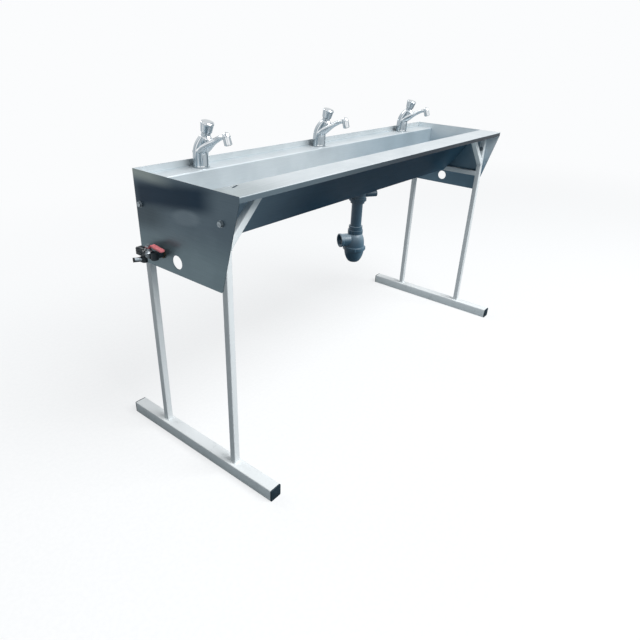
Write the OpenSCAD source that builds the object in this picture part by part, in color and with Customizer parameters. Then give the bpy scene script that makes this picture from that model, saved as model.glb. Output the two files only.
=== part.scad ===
// Freestanding wash trough with three push taps, two tube leg frames, a bottle trap and a ball valve inlet.
// Millimetres, +Z up. The user stands on the -Y side. The origin lies on the floor under the middle.

/* [Trough] */
// Length of the trough over its end panels
trough_len = 1550; // [1450:5:2200]
// Height of the rim above the floor
rim_height = 850; // [760:5:950]
// Depth of the trough from the front edge of the rim to its back
trough_depth = 393; // [370:1:440]
// Thickness of the folded sheet
sheet_t = 1.5; // [1:0.1:2.5]
// Width of the flat front rim
rim_w = 88.5; // [78:0.5:96]
// Height of the rim's downturned front flange
rim_flange = 15; // [10:0.5:22]
// Depth of the basin, from the rim to the underside of its floor
basin_depth = 188; // [170:1:205]
// Depth of the tap deck behind the basin
deck_depth = 69.5; // [64:0.5:80]
// Drop from the rim to the tap deck
deck_drop = 19; // [12:0.5:28]
// Width of the basin floor, front to back
floor_w = 100; // [88:0.5:112]
// Inner radius of the folds
fold_r = 2.5; // [1.5:0.1:4]
// Length of the small slot in the rim
slot_len = 26; // [16:1:40]
// Width of the small slot in the rim
slot_w = 4; // [3:0.5:6]

/* [End panels] */
// Height of the end panels
panel_h = 256; // [244:1:280]
// Distance that the lower front corner lies behind the rim's front edge
panel_cut = 69; // [50:1:90]
// Corner radius of the end panels
panel_r = 8; // [3:0.5:14]
// Diameter of the pass hole for pipes
pass_hole_d = 38; // [25:1:44]
// Distance of the pass hole's centre behind the rim's front edge
pass_hole_y = 239; // [215:1:250]
// Height of the pass hole's centre above the panel's lower edge
pass_hole_up = 36; // [28:1:38]

/* [Leg frames] */
// Width of the square base tubes
base_w = 40; // [34:1:50]
// Wall of the base tubes
base_wall = 2; // [1.5:0.1:4]
// Length of a base tube over its end caps
base_len = 633; // [580:1:760]
// Distance that the base tubes reach in front of the rim
base_front = 104; // [60:1:160]
// Distance that the base tubes stand out past the end panels
base_out = 10; // [4:0.5:14]
// Width of the square upright tubes
leg_w = 20; // [18:0.5:24]
// Wall of the upright tubes
leg_wall = 1.5; // [1:0.1:2.5]
// Distance of the front uprights behind the rim's front edge
front_leg_y = 52; // [44:1:58]
// Distance of the rear uprights in front of the trough's back
rear_leg_in = 8.5; // [4:0.5:12]
// Height of the side bars above the panels' lower edge
side_bar_up = 63; // [60:0.5:90]
// Drop from the rim to the foot of the knee brace
brace_drop = 144; // [110:1:165]
// Slope of the knee braces
brace_angle = 45; // [38:1:52]
// Thickness of the end caps' outer plates
cap_t = 4; // [2:0.5:8]
// Depth of the end caps inside the tubes
cap_plug = 18; // [8:1:30]

/* [Frame bolts] */
// Thread diameter of the frame bolts
bolt_d = 8; // [6:0.5:9]
// Width across flats of the bolt heads and nuts
bolt_af = 13; // [12:0.5:15]
// Height of the bolt heads
bolt_head_h = 5.3; // [4:0.1:7]
// Height of the nuts
bolt_nut_h = 6.5; // [5:0.1:8]
// Diameter of the washers
washer_d = 17; // [15:0.5:19]
// Thickness of the washers
washer_t = 1.6; // [1:0.1:2.5]
// Thread that stands out past the nuts
bolt_out = 2.5; // [1:0.5:5]
// Drop from the rim to the front bolts
front_bolt_drop = 75; // [50:1:100]
// Drop from the rim to the rear bolts
rear_bolt_drop = 91; // [60:1:120]

/* [Taps] */
// Place of the left tap along the trough, from its middle
left_tap_x = -573; // [-600:1:-480]
// Place of the middle tap along the trough, from its middle
middle_tap_x = -29; // [-100:1:60]
// Place of the right tap along the trough, from its middle
right_tap_x = 554; // [420:1:640]
// Distance of the taps in front of the trough's back
tap_in = 32; // [30:0.5:36]
// Diameter of the tap's base
tap_base_d = 50; // [46:0.5:54]
// Diameter of the tap's column
tap_column_d = 44; // [40:0.5:44]
// Reach of the spout, from the tap's axis to the outlet
spout_reach = 117; // [110:1:140]
// Height of the outlet above the tap's base
outlet_h = 73; // [66:0.5:80]
// Diameter of the spout's outlet
outlet_d = 22; // [20:0.5:24]
// Height of the tap's neck above its base
neck_h = 87; // [80:0.5:90]
// Distance that the neck leans towards the user
neck_lean = 28; // [22:0.5:30]
// Diameter of the neck
neck_d = 31; // [30:0.5:33]
// Tilt of the push button towards the user
button_tilt = 15; // [8:1:18]
// Diameter of the push button at its top
button_top_d = 38.5; // [34:0.5:40]
// Diameter of the push button at its lower edge
button_low_d = 31; // [30.5:0.5:34]
// Height of the push button
button_h = 30; // [25:0.5:34]
// Travel of the push button
button_travel = 6; // [3:0.5:7]
// Diameter of the threaded shank
shank_d = 20.9; // [19:0.1:22]
// Length of the shank under the tap's base
shank_len = 48; // [42:1:50]

/* [Supply pipe] */
// Outer diameter of the supply pipe
pipe_d = 15; // [14:0.5:16]
// Wall of the supply pipe
pipe_wall = 1; // [0.7:0.1:2]
// Drop from the tap deck to the supply pipe
manifold_drop = 78; // [76:1:88]
// Distance of the riser inside the left panel
riser_in = 50; // [46:1:60]
// Distance of the inlet's hole behind the rim's front edge
inlet_y = 298; // [288:1:298]
// Height of the inlet above the panel's lower edge
inlet_up = 46; // [43:0.5:48]

/* [Ball valve] */
// Distance of the valve's axis outside the left panel
valve_out = 27; // [24:0.5:32]
// Length of the valve body
valve_len = 32; // [31:0.5:38]
// Diameter of the ball
ball_d = 18; // [16:0.5:18.5]
// Bore through the ball
ball_bore_d = 11; // [8:0.5:12]
// Diameter of the valve's stem
stem_d = 8; // [6:0.5:9]
// Length of the lever from the stem
lever_len = 58; // [56:1:110]
// Width of the lever's plate
lever_w = 12; // [11:0.5:16]
// Thickness of the lever's plate
lever_t = 2; // [1.5:0.1:3]
// Length of the red sleeve on the lever
grip_len = 40; // [30:1:42]
// Length of the hose tail from the tee's branch
tail_len = 30; // [26:1:60]
// Outer diameter of the hose tail
tail_d = 13; // [12:0.5:15]

/* [Waste and trap] */
// Place of the waste along the trough, from its middle
waste_x = 119; // [60:1:300]
// Diameter of the strainer's flange
strainer_d = 70; // [60:1:80]
// Outer diameter of the waste pipe
waste_d = 43; // [40:0.5:44]
// Length of the waste pipe between the nuts
drop_len = 92; // [60:1:140]
// Reach of the plugged overflow boss from the waste's axis
boss_reach = 78; // [60:1:110]
// Diameter of the overflow boss
boss_d = 25; // [20:0.5:25.5]
// Diameter of the trap's cup ring
cup_ring_d = 87; // [84:1:94]
// Diameter of the trap's body above the ring
trap_d = 74; // [72:0.5:78]
// Height of the trap's body
trap_h = 54; // [52:1:60]
// Height of the trap's cup under the ring
cup_h = 50; // [46:1:80]
// Outer diameter of the trap's outlet
outlet_sock_d = 50; // [49:0.5:50.5]
// Reach of the trap's outlet from its axis
outlet_reach = 67; // [64:1:80]
// Turn of the trap's outlet from the trough's back towards its left end
outlet_turn = 60; // [20:1:80]

/* [Hidden] */
$fn = 64;
// Length by which a cutting tool runs past what it cuts
overrun = 2;
// Gap between a tube or thread and the hole that it lies in
fit_gap = 0.1;
// Radial running clearance of the buttons' and the valve's stems
run_gap = 0.05;
// Gap between moving pieces that pass each other
pass_gap = 0.4;
// Number of flats along each fold's arc
fold_steps = 6;

// Main planes of the trough, from its front edge and the floor
half_len = trough_len / 2;
shell_half = half_len - sheet_t;
deck_top = rim_height - deck_drop;
deck_under = deck_top - sheet_t;
back_wall_y = trough_depth - deck_depth;
floor_front_y = back_wall_y - floor_w;
floor_under = rim_height - basin_depth;
floor_top = floor_under + sheet_t;
rim_under = rim_height - sheet_t;
panel_low = rim_height - panel_h;
// Place of the rim's slot, in from the left panel and back from the rim's front edge
slot_in = 59;
slot_y = 75;
slot_turn = 22;

// Leg frames
base_x = half_len + base_out - base_w / 2;
leg_x = half_len - sheet_t - leg_w / 2;
leg_face_x = leg_x - leg_w / 2;
rear_leg_y = trough_depth - rear_leg_in - leg_w;
front_leg_mid = front_leg_y + leg_w / 2;
rear_leg_mid = rear_leg_y + leg_w / 2;
side_bar_z = panel_low + side_bar_up;
brace_low_z = rim_height - brace_drop;
base_back_y = base_len - base_front;
front_bolt_z = rim_height - front_bolt_drop;
rear_bolt_z = rim_height - rear_bolt_drop;
bolt_hole_gap = 0.3;
bolt_hole_d = bolt_d + 2 * bolt_hole_gap;
cap_wall = 3;

// Taps
tap_y = trough_depth - tap_in;
tap_flange_h = 4;
tap_seal_t = 1.5;
tap_z = deck_top + tap_seal_t;
column_h = 40;
column_lean = 3;
shank_bore_d = 14;
shank_gap = 0.6;
neck_top_h = 5;
cartridge_d = 22;
cartridge_h = 40;
cartridge_head_d = 26;
cartridge_head_h = 9;
guide_h = 21;
chamber_d = 14;
chamber_floor = 3;
button_stem_d = 8;
button_collar_d = 12;
button_collar_h = 3;
button_rise = 10;
button_skirt_h = 20;
button_edge = 1.2;
spring_d = 12;
spring_bore_d = 9;
spout_root_d = 27;
spout_mid_d = 19;
spout_end_d = 17;
spout_head_d = 22;
// Stations of the spout, as shares of the way from its root to its head, and the diameter at each
spout_y_shares = [0, 0.28, 0.55, 0.8, 1];
spout_z_shares = [0, 0.26, 0.6, 0.87, 1];
spout_ds = [spout_root_d, (spout_root_d + spout_mid_d) / 2, spout_mid_d, spout_end_d, spout_head_d];
outlet_len = 24;
outlet_tilt = 18;
aerator_d = 16;
aerator_bore_d = 13;
aerator_h = 10;
aerator_out = 1.5;
aerator_plate = 1.5;
aerator_hole_d = 2.4;
aerator_ring_r = 4.2;
backnut_af = 27;
backnut_h = 8;
tap_washer_d = 34;
tap_washer_t = 2;
connector_af = 24;
connector_over = 8;
connector_h = 12;

// Supply pipe
manifold_z = deck_top - manifold_drop;
riser_x = -half_len + riser_in;
inlet_z = panel_low + inlet_up;
socket_wall = 2.5;
socket_len = 21;
socket_grip = 12;
clip_w = 12;
clip_wall = 2;
clip_foot_h = 34;
clip_screw_d = 4;
clip_screw_head_d = 8;
clip_screw_head_h = 3;
// Places of the pipe clips, as shares of the way from the left tap to the right tap
clip_shares = [0.12, 0.42, 0.62, 0.93];
bulkhead_af = 22;
bulkhead_h = 5;

// Ball valve, its inlet tee and hose tail
valve_x = -half_len - valve_out;
elbow_reach = 7;
valve_start_y = inlet_y + elbow_reach;
stem_y = valve_start_y + valve_len / 2;
valve_end_y = valve_start_y + valve_len;
valve_hex_af = 23;
valve_hex_w = 8;
valve_body_d = 26;
valve_bore_d = 12;
gland_d = 14;
gland_h = 16;
lever_rise = 18;
lever_crank_y = 16;
lever_crank_h = 9;
lever_fall = 5;
lever_eye_y = 8;
grip_w = 15;
grip_t = 8;
stem_top = 26;
lever_nut_af = 13;
lever_nut_h = 5;
elbow_d = 21;
elbow_hub_h = 20;
elbow_room_d = 14.8;
elbow_bore_d = 10;
elbow_room_h = 13;
tee_d = 24;
tee_len = 20;
tee_rib = 1.5;
tee_ribs = 12;
branch_d = 17;
branch_y = valve_end_y + branch_d / 2;
branch_drop = 21;
tee_cap_h = 8;
tee_cap_d = 22;
cap_lobe_d = 9;
tail_turn = 62;
tail_neck_d = 11;
tail_bore_d = 8;
tail_seal_h = 5;
tail_collar_d = 16;
tail_collar_h = 2.5;

// Waste and trap
waste_y = floor_front_y + floor_w / 2;
strainer_t = 2;
strainer_tube_d = 42;
strainer_tube_h = 24;
strainer_wall = 2;
strainer_hole_d = 7;
strainer_ring_r = 12;
strainer_holes = 8;
waste_hole_gap = 1;
gasket_t = 2;
waste_body_d = 60;
waste_body_h = 26;
backnut_d = 68;
waste_backnut_h = 10;
inlet_nut_d = 55;
inlet_nut_h = 10;
plug_t = 4;
boss_wall = 3;
collar_top_d = 54;
collar_top_h = 16;
collar_d = 60;
collar_h = 14;
nut_ribs = 16;
nut_rib_t = 1.2;
trap_wall = 3;
trap_lip_d = 52;
ring_h = 14;
ring_lug = 4;
ring_lugs = 4;
ring_lug_turn = 37;
cup_d = 79;
cup_floor_d = 30;
cup_steps = 8;
outlet_bore_d = 36;
outlet_sock_bore_d = 43.4;
outlet_sock_depth = 28;
outlet_down = 26;
dip_len = 46;
seal_t = 2.5;

gasket_low = floor_under - gasket_t;
waste_body_low = gasket_low - waste_body_h;
backnut_low = waste_body_low - waste_backnut_h;
inlet_nut_low = backnut_low - inlet_nut_h;
collar_top_z = inlet_nut_low - drop_len;
collar_low = collar_top_z - collar_top_h - collar_h;
trap_low = collar_low - trap_h;
outlet_z = collar_low - outlet_down;
cup_top = trap_low - ring_h;
pipe_end_z = collar_low - dip_len;

// Shift that puts the origin on the floor under the middle of the whole object
tail_reach = tail_len * sin(tail_turn) + tail_d / 2 * cos(tail_turn);
low_x = min(-half_len - base_out, valve_x - tail_reach);
high_x = half_len + base_out;
shift_x = -(low_x + high_x) / 2;
shift_y = -(base_back_y - base_front) / 2;

module placed() {
    translate([shift_x, shift_y, 0]) children();
}

// Points of a midline, given as [y, z], with each inner corner rounded to radius r
function turn(p, q) = (q - p) / norm(q - p);
function cross2(a, b) = a[0] * b[1] - a[1] * b[0];
function corner_arc(a, b, c, r) =
    let(
        u = turn(b, a),
        v = turn(b, c),
        half = acos(u * v) / 2,
        along = r / tan(half),
        mid = (u + v) / norm(u + v) * r / sin(half) + b,
        start = b + u * along - mid,
        sense = cross2(u, v) > 0 ? -1 : 1,
        sweep = 180 - 2 * half
    )
    [for (i = [0:fold_steps])
        let(w = sense * sweep * i / fold_steps)
        mid + [start[0] * cos(w) - start[1] * sin(w), start[0] * sin(w) + start[1] * cos(w)]];
function rounded_line(pts, r) = concat(
    [pts[0]],
    [for (i = [1:len(pts) - 2]) each corner_arc(pts[i - 1], pts[i], pts[i + 1], r)],
    [pts[len(pts) - 1]]);
function side_normal(d) = [-d[1], d[0]];
function mitre(pts, i) =
    let(
        n = len(pts),
        a = side_normal(turn(pts[max(i - 1, 0)], pts[max(i, 1)])),
        b = side_normal(turn(pts[min(i, n - 2)], pts[min(i + 1, n - 1)]))
    )
    (a + b) / (1 + a * b);
function sheet_outline(pts, t) = concat(
    [for (i = [0:len(pts) - 1]) pts[i] + mitre(pts, i) * t / 2],
    [for (i = [len(pts) - 1:-1:0]) pts[i] - mitre(pts, i) * t / 2]);

// Extrusion of an outline in the Y-Z plane along X, from x0 over length l
module along_x(x0, l) {
    translate([x0, 0, 0]) rotate([90, 0, 90]) linear_extrude(l) children();
}

// Cylinder along X, from x0 over length l
module rod_x(x0, y, z, l, d) {
    translate([x0, y, z]) rotate([0, 90, 0]) cylinder(d = d, h = l);
}

// Cylinder along Y, from y0 over length l
module rod_y(x, y0, z, l, d) {
    translate([x, y0, z]) rotate([-90, 0, 0]) cylinder(d = d, h = l);
}

// Cylinder along Z, from z0 over length l
module rod_z(x, y, z0, l, d) {
    translate([x, y, z0]) cylinder(d = d, h = l);
}

// Hexagonal prism along +Z by its width across flats
module hex(af, h) {
    rotate([0, 0, 30]) cylinder(d = af / cos(30), h = h, $fn = 6);
}

// Flat ring along +Z
module ring(d, bore, h) {
    difference() {
        cylinder(d = d, h = h);
        translate([0, 0, -overrun]) cylinder(d = bore, h = h + 2 * overrun);
    }
}

// Ends of the sloping front wall's midline
wall_top = [rim_w, rim_height - sheet_t / 2];
wall_low = [floor_front_y, floor_under + sheet_t / 2];

// Trough folded from one sheet: flange, rim, front wall, floor, back wall, tap deck and upstand
module trough_shell() {
    mid = sheet_t / 2;
    line = [
        [mid, rim_height - rim_flange],
        [mid, rim_height - mid],
        wall_top,
        wall_low,
        [back_wall_y + mid, floor_under + mid],
        [back_wall_y + mid, deck_top - mid],
        [trough_depth - mid, deck_top - mid],
        [trough_depth - mid, rim_height]];
    color("#c3ced4") placed() difference() {
        along_x(-shell_half, 2 * shell_half)
            polygon(sheet_outline(rounded_line(line, fold_r + mid), sheet_t));
        for (x = [left_tap_x, middle_tap_x, right_tap_x])
            rod_z(x, tap_y, deck_under - overrun, sheet_t + 2 * overrun, shank_d + 2 * shank_gap);
        rod_z(waste_x, waste_y, floor_under - overrun, sheet_t + 2 * overrun,
            strainer_tube_d + 2 * waste_hole_gap);
        translate([-half_len + slot_in, slot_y, rim_under - overrun]) rotate([0, 0, slot_turn]) {
            translate([-(slot_len - slot_w) / 2, -slot_w / 2, 0])
                cube([slot_len - slot_w, slot_w, sheet_t + 2 * overrun]);
            for (s = [-1, 1])
                translate([s * (slot_len - slot_w) / 2, 0, 0])
                    cylinder(d = slot_w, h = sheet_t + 2 * overrun);
        }
    }
}

// Outline of an end panel with its two lower corners rounded
module panel_outline() {
    line = [
        [0, rim_height - rim_flange],
        [panel_cut, panel_low],
        [trough_depth, panel_low],
        [trough_depth, rim_height]];
    polygon(concat([[0, rim_height]], rounded_line(line, panel_r)));
}

module end_panel(side) {
    x0 = side < 0 ? -half_len : half_len - sheet_t;
    difference() {
        along_x(x0, sheet_t) panel_outline();
        rod_x(x0 - overrun, pass_hole_y, panel_low + pass_hole_up, sheet_t + 2 * overrun, pass_hole_d);
        rod_x(x0 - overrun, front_leg_mid, front_bolt_z, sheet_t + 2 * overrun, bolt_hole_d);
        rod_x(x0 - overrun, rear_leg_mid, rear_bolt_z, sheet_t + 2 * overrun, bolt_hole_d);
        if (side < 0)
            rod_x(x0 - overrun, inlet_y, inlet_z, sheet_t + 2 * overrun, pipe_d + 2 * fit_gap);
    }
}

module left_end_panel() {
    color("#56636b") placed() end_panel(-1);
}

module right_end_panel() {
    color("#56636b") placed() end_panel(1);
}

// Square base tube along Y, between its two end caps
module base_tube(side) {
    inner = base_w - 2 * base_wall;
    l = base_len - 2 * cap_t;
    translate([side * base_x - base_w / 2, -base_front + cap_t, 0]) difference() {
        cube([base_w, l, base_w]);
        translate([base_wall, -overrun, base_wall]) cube([inner, l + 2 * overrun, inner]);
    }
}

module left_base_tube() {
    color("#dfe5e7") placed() base_tube(-1);
}

module right_base_tube() {
    color("#dfe5e7") placed() base_tube(1);
}

// End cap: a plate over the tube's end and a hollow plug inside it
module tube_cap() {
    plug = base_w - 2 * base_wall - 2 * fit_gap;
    bore = plug - 2 * cap_wall;
    translate([-base_w / 2, 0, 0]) cube([base_w, cap_t, base_w]);
    difference() {
        translate([-plug / 2, cap_t, (base_w - plug) / 2]) cube([plug, cap_plug, plug]);
        translate([-bore / 2, cap_t, (base_w - bore) / 2]) cube([bore, cap_plug + overrun, bore]);
    }
}

module tube_caps(side) {
    translate([side * base_x, -base_front, 0]) tube_cap();
    translate([side * base_x, base_back_y, 0]) mirror([0, 1, 0]) tube_cap();
}

module left_tube_caps() {
    color("#24363d") placed() tube_caps(-1);
}

module right_tube_caps() {
    color("#24363d") placed() tube_caps(1);
}

// Upright square tube on the base tube, with a cross hole for its bolt
module upright(side, y, top, bolt_z) {
    inner = leg_w - 2 * leg_wall;
    x0 = side * leg_x - leg_w / 2;
    difference() {
        translate([x0, y, base_w]) cube([leg_w, leg_w, top - base_w]);
        translate([x0 + leg_wall, y + leg_wall, base_w - overrun])
            cube([inner, inner, top - base_w + 2 * overrun]);
        rod_x(x0 - overrun, y + leg_w / 2, bolt_z, leg_w + 2 * overrun, bolt_hole_d);
    }
}

module left_rear_upright() {
    color("#d9dfe1") placed() upright(-1, rear_leg_y, deck_under, rear_bolt_z);
}

module left_front_upright() {
    color("#d9dfe1") placed() upright(-1, front_leg_y, rim_under, front_bolt_z);
}

module right_rear_upright() {
    color("#d9dfe1") placed() upright(1, rear_leg_y, deck_under, rear_bolt_z);
}

module right_front_upright() {
    color("#d9dfe1") placed() upright(1, front_leg_y, rim_under, front_bolt_z);
}

// Side bar along Y from the front upright to the basin's front wall, cut to the wall's slope
module side_bar(side) {
    inner = leg_w - 2 * leg_wall;
    y0 = front_leg_y + leg_w;
    l = floor_front_y + leg_w - y0;
    x0 = side * leg_x - leg_w / 2;
    up = turn(wall_low, wall_top);
    out = side_normal(up) * sheet_t / 2;
    difference() {
        translate([x0, y0, side_bar_z]) cube([leg_w, l, leg_w]);
        translate([x0 + leg_wall, y0 - overrun, side_bar_z + leg_wall]) cube([inner, l + 2 * overrun, inner]);
        along_x(x0 - overrun, leg_w + 2 * overrun) polygon([
            wall_low + out - up * 2 * leg_w,
            wall_top + out,
            [trough_depth, rim_height],
            [trough_depth, panel_low]]);
    }
}

module left_side_bar() {
    color("#8f9c9f") placed() side_bar(-1);
}

module right_side_bar() {
    color("#8f9c9f") placed() side_bar(1);
}

// Knee brace from the front upright's inner face up to the rim, cut flush at both ends
module left_knee() {
    inner = leg_w - 2 * leg_wall;
    rise = rim_under - brace_low_z;
    run = rise / tan(brace_angle);
    long = norm([rise, run]) + 4 * leg_w;
    intersection() {
        translate([-leg_face_x, front_leg_y, brace_low_z]) rotate([0, -brace_angle, 0])
            translate([-2 * leg_w, 0, 0]) difference() {
                cube([long, leg_w, leg_w]);
                translate([-overrun, leg_wall, leg_wall]) cube([long + 2 * overrun, inner, inner]);
            }
        translate([-leg_face_x, front_leg_y - overrun, brace_low_z - leg_w])
            cube([run + leg_w, leg_w + 2 * overrun, rise + leg_w]);
    }
}

module left_brace() {
    color("#cfd6d8") placed() left_knee();
}

module right_brace() {
    color("#cfd6d8") placed() mirror([1, 0, 0]) left_knee();
}

// Runs its child at the four bolt places, with +Z pointing out past the end panel
module at_bolts() {
    for (side = [-1, 1])
        for (p = [[front_leg_mid, front_bolt_z], [rear_leg_mid, rear_bolt_z]])
            translate([side * half_len, p[0], p[1]]) rotate([0, side * 90, 0]) children();
}

bolt_grip = sheet_t + leg_w;

module frame_bolts() {
    color("#b9c2c6") placed() at_bolts() {
        translate([0, 0, washer_t]) hex(bolt_af, bolt_head_h);
        translate([0, 0, -bolt_grip - washer_t - bolt_nut_h - bolt_out])
            cylinder(d = bolt_d, h = bolt_grip + 2 * washer_t + bolt_nut_h + bolt_out);
    }
}

module frame_washers() {
    color("#c4ccd0") placed() at_bolts() {
        ring(washer_d, bolt_d + 2 * fit_gap, washer_t);
        translate([0, 0, -bolt_grip - washer_t]) ring(washer_d, bolt_d + 2 * fit_gap, washer_t);
    }
}

module frame_nuts() {
    color("#aab4b9") placed() at_bolts()
        translate([0, 0, -bolt_grip - washer_t - bolt_nut_h]) difference() {
            hex(bolt_af, bolt_nut_h);
            translate([0, 0, -overrun]) cylinder(d = bolt_d + 2 * fit_gap, h = bolt_nut_h + 2 * overrun);
        }
}

// Puts a tap's piece at its place on the deck
module at_tap(x) {
    translate([x, tap_y, tap_z]) children();
}

module at_taps() {
    for (x = [left_tap_x, middle_tap_x, right_tap_x])
        at_tap(x) children();
}

// Turns +Z into the tilted axis of the button, with zero at the top of the neck
module on_neck() {
    translate([0, -neck_lean, neck_h]) rotate([button_tilt, 0, 0]) children();
}

// Turns -Z into the axis of the outlet, with zero at the outlet's mouth
module on_outlet() {
    translate([0, -spout_reach, outlet_h]) rotate([-outlet_tilt, 0, 0]) children();
}

// Root of the spout in the column, and middle of its head above the mouth
root_y = column_lean + tap_column_d / 4;
root_z = (column_h + neck_h) / 2 - tap_column_d / 4;
head_y = spout_reach - outlet_len * sin(outlet_tilt);
head_z = outlet_h + outlet_len * cos(outlet_tilt);

// Ball at one of the spout's stations, from the root to the head
module spout_ball(i) {
    y = root_y + (head_y - root_y) * spout_y_shares[i];
    translate([0, -y, root_z + (head_z - root_z) * spout_z_shares[i]])
        sphere(d = spout_ds[i], $fn = 24);
}

// Body of a tap: base flange, column, leaning neck, spout and shank, with the cartridge's bore
module tap_body(x) {
    at_tap(x) difference() {
        union() {
            cylinder(d = tap_base_d, h = tap_flange_h);
            hull() {
                translate([0, 0, tap_flange_h])
                    cylinder(d = tap_column_d + tap_flange_h, h = sheet_t, $fn = 40);
                translate([0, -column_lean, column_h]) cylinder(d = tap_column_d, h = sheet_t, $fn = 40);
            }
            hull() {
                translate([0, -column_lean, column_h]) cylinder(d = tap_column_d, h = sheet_t, $fn = 40);
                on_neck() translate([0, 0, -neck_top_h]) cylinder(d = neck_d, h = neck_top_h, $fn = 40);
            }
            for (i = [0:len(spout_ds) - 2])
                hull() {
                    spout_ball(i);
                    spout_ball(i + 1);
                }
            on_outlet() cylinder(d = outlet_d, h = outlet_len);
            translate([0, 0, -shank_len]) cylinder(d = shank_d, h = shank_len);
        }
        on_neck() translate([0, 0, -cartridge_h - fit_gap])
            cylinder(d = cartridge_d + 2 * fit_gap, h = cartridge_h + neck_top_h);
        translate([0, 0, -shank_len - overrun])
            cylinder(d = shank_bore_d, h = shank_len + column_h / 2 + overrun);
        on_outlet() translate([0, 0, -overrun])
            cylinder(d = aerator_d + 2 * fit_gap, h = aerator_h + overrun);
    }
}

module left_tap_body() {
    color("#d3dade") placed() tap_body(left_tap_x);
}

module middle_tap_body() {
    color("#d3dade") placed() tap_body(middle_tap_x);
}

module right_tap_body() {
    color("#d3dade") placed() tap_body(right_tap_x);
}

// Push button: a tapered cap with a stem and a stop collar, drawn as one turned profile at rest
module tap_button(x) {
    top = button_rise + button_h;
    ceiling = button_rise + button_skirt_h;
    stem_low = cartridge_head_h - guide_h - pass_gap;
    cavity_r = cartridge_head_d / 2 + pass_gap;
    at_tap(x) on_neck() rotate_extrude() polygon([
        [0, stem_low - button_collar_h],
        [button_collar_d / 2, stem_low - button_collar_h],
        [button_collar_d / 2, stem_low],
        [button_stem_d / 2, stem_low],
        [button_stem_d / 2, ceiling],
        [cavity_r, ceiling],
        [cavity_r, button_rise],
        [button_low_d / 2, button_rise],
        [button_top_d / 2, top - 2 * button_edge],
        [button_top_d / 2 - button_edge / 2, top - button_edge / 2],
        [button_top_d / 2 - 2 * button_edge, top],
        [0, top + button_edge / 2]]);
}

module left_tap_button() {
    color("#e6ebee") placed() tap_button(left_tap_x);
}

module middle_tap_button() {
    color("#e6ebee") placed() tap_button(middle_tap_x);
}

module right_tap_button() {
    color("#e6ebee") placed() tap_button(right_tap_x);
}

// Self-closing cartridge: a sleeve in the neck with a head ring, a stem guide and a spring chamber
module tap_cartridge(x) {
    chamber_top = cartridge_head_h - guide_h;
    at_tap(x) on_neck() rotate_extrude() polygon([
        [0, -cartridge_h],
        [cartridge_d / 2, -cartridge_h],
        [cartridge_d / 2, 0],
        [cartridge_head_d / 2, 0],
        [cartridge_head_d / 2, cartridge_head_h],
        [button_stem_d / 2 + run_gap, cartridge_head_h],
        [button_stem_d / 2 + run_gap, chamber_top],
        [chamber_d / 2, chamber_top],
        [chamber_d / 2, -cartridge_h + chamber_floor],
        [0, -cartridge_h + chamber_floor]]);
}

module left_tap_cartridge() {
    color("#b58a3c") placed() tap_cartridge(left_tap_x);
}

module middle_tap_cartridge() {
    color("#b58a3c") placed() tap_cartridge(middle_tap_x);
}

module right_tap_cartridge() {
    color("#b58a3c") placed() tap_cartridge(right_tap_x);
}

// Return springs, drawn as sleeves at their pressed length
module tap_springs() {
    low = -cartridge_h + chamber_floor;
    high = cartridge_head_h - guide_h - button_collar_h - button_travel - 2 * pass_gap;
    color("#9aa3a8") placed() at_taps() on_neck()
        translate([0, 0, low]) ring(spring_d, spring_bore_d, high - low);
}

// Outlet inserts with a perforated plate
module tap_aerators() {
    color("#c9d0d4") placed() at_taps() on_outlet() {
        translate([0, 0, -aerator_out]) ring(aerator_d, aerator_bore_d, aerator_h + aerator_out);
        difference() {
            cylinder(d = aerator_bore_d, h = aerator_plate);
            for (i = [0:5])
                rotate([0, 0, 60 * i]) translate([aerator_ring_r, 0, -overrun])
                    cylinder(d = aerator_hole_d, h = aerator_plate + 2 * overrun);
            translate([0, 0, -overrun]) cylinder(d = aerator_hole_d, h = aerator_plate + 2 * overrun);
        }
    }
}

module tap_base_seals() {
    color("#2b3236") placed() at_taps()
        translate([0, 0, -tap_seal_t]) ring(tap_base_d, shank_d + 2 * fit_gap, tap_seal_t);
}

module tap_washers() {
    color("#e8e4d8") placed() at_taps()
        translate([0, 0, -tap_seal_t - sheet_t - tap_washer_t])
            ring(tap_washer_d, shank_d + 2 * fit_gap, tap_washer_t);
}

module tap_backnuts() {
    color("#b58a3c") placed() at_taps()
        translate([0, 0, -tap_seal_t - sheet_t - tap_washer_t - backnut_h]) difference() {
            hex(backnut_af, backnut_h);
            translate([0, 0, -overrun]) cylinder(d = shank_d + 2 * fit_gap, h = backnut_h + 2 * overrun);
        }
}

// Swivel nuts on the shanks, with tails that end in the fittings of the supply pipe
module tap_connectors() {
    tail_low = manifold_z - tap_z + socket_len - socket_grip;
    color("#b58a3c") placed() at_taps() difference() {
        union() {
            translate([0, 0, -shank_len - connector_h + connector_over]) hex(connector_af, connector_h);
            translate([0, 0, tail_low]) cylinder(d = pipe_d, h = -shank_len - tail_low);
        }
        translate([0, 0, -shank_len]) cylinder(d = shank_d + 2 * fit_gap, h = connector_over + overrun);
        translate([0, 0, tail_low - overrun]) cylinder(d = pipe_d - 2 * pipe_wall, h = -tail_low);
    }
}

// Corner points of the supply run, from the panel to the right tap
run_inlet = [riser_x, inlet_y, inlet_z];
run_low = [riser_x, tap_y, inlet_z];
run_high = [riser_x, tap_y, manifold_z];

// Pipe along one axis between two points, shortened by cut at each end
module pipe_between(p, q, cut_p, cut_q) {
    d = (q - p) / norm(q - p);
    l = norm(q - p) - cut_p - cut_q;
    a = d[0] != 0 ? [0, 90 * d[0], 0] : d[1] != 0 ? [-90 * d[1], 0, 0] : [0, 0, 0];
    translate(p + d * cut_p) rotate(a) ring(pipe_d, pipe_d - 2 * pipe_wall, l);
}

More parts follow.
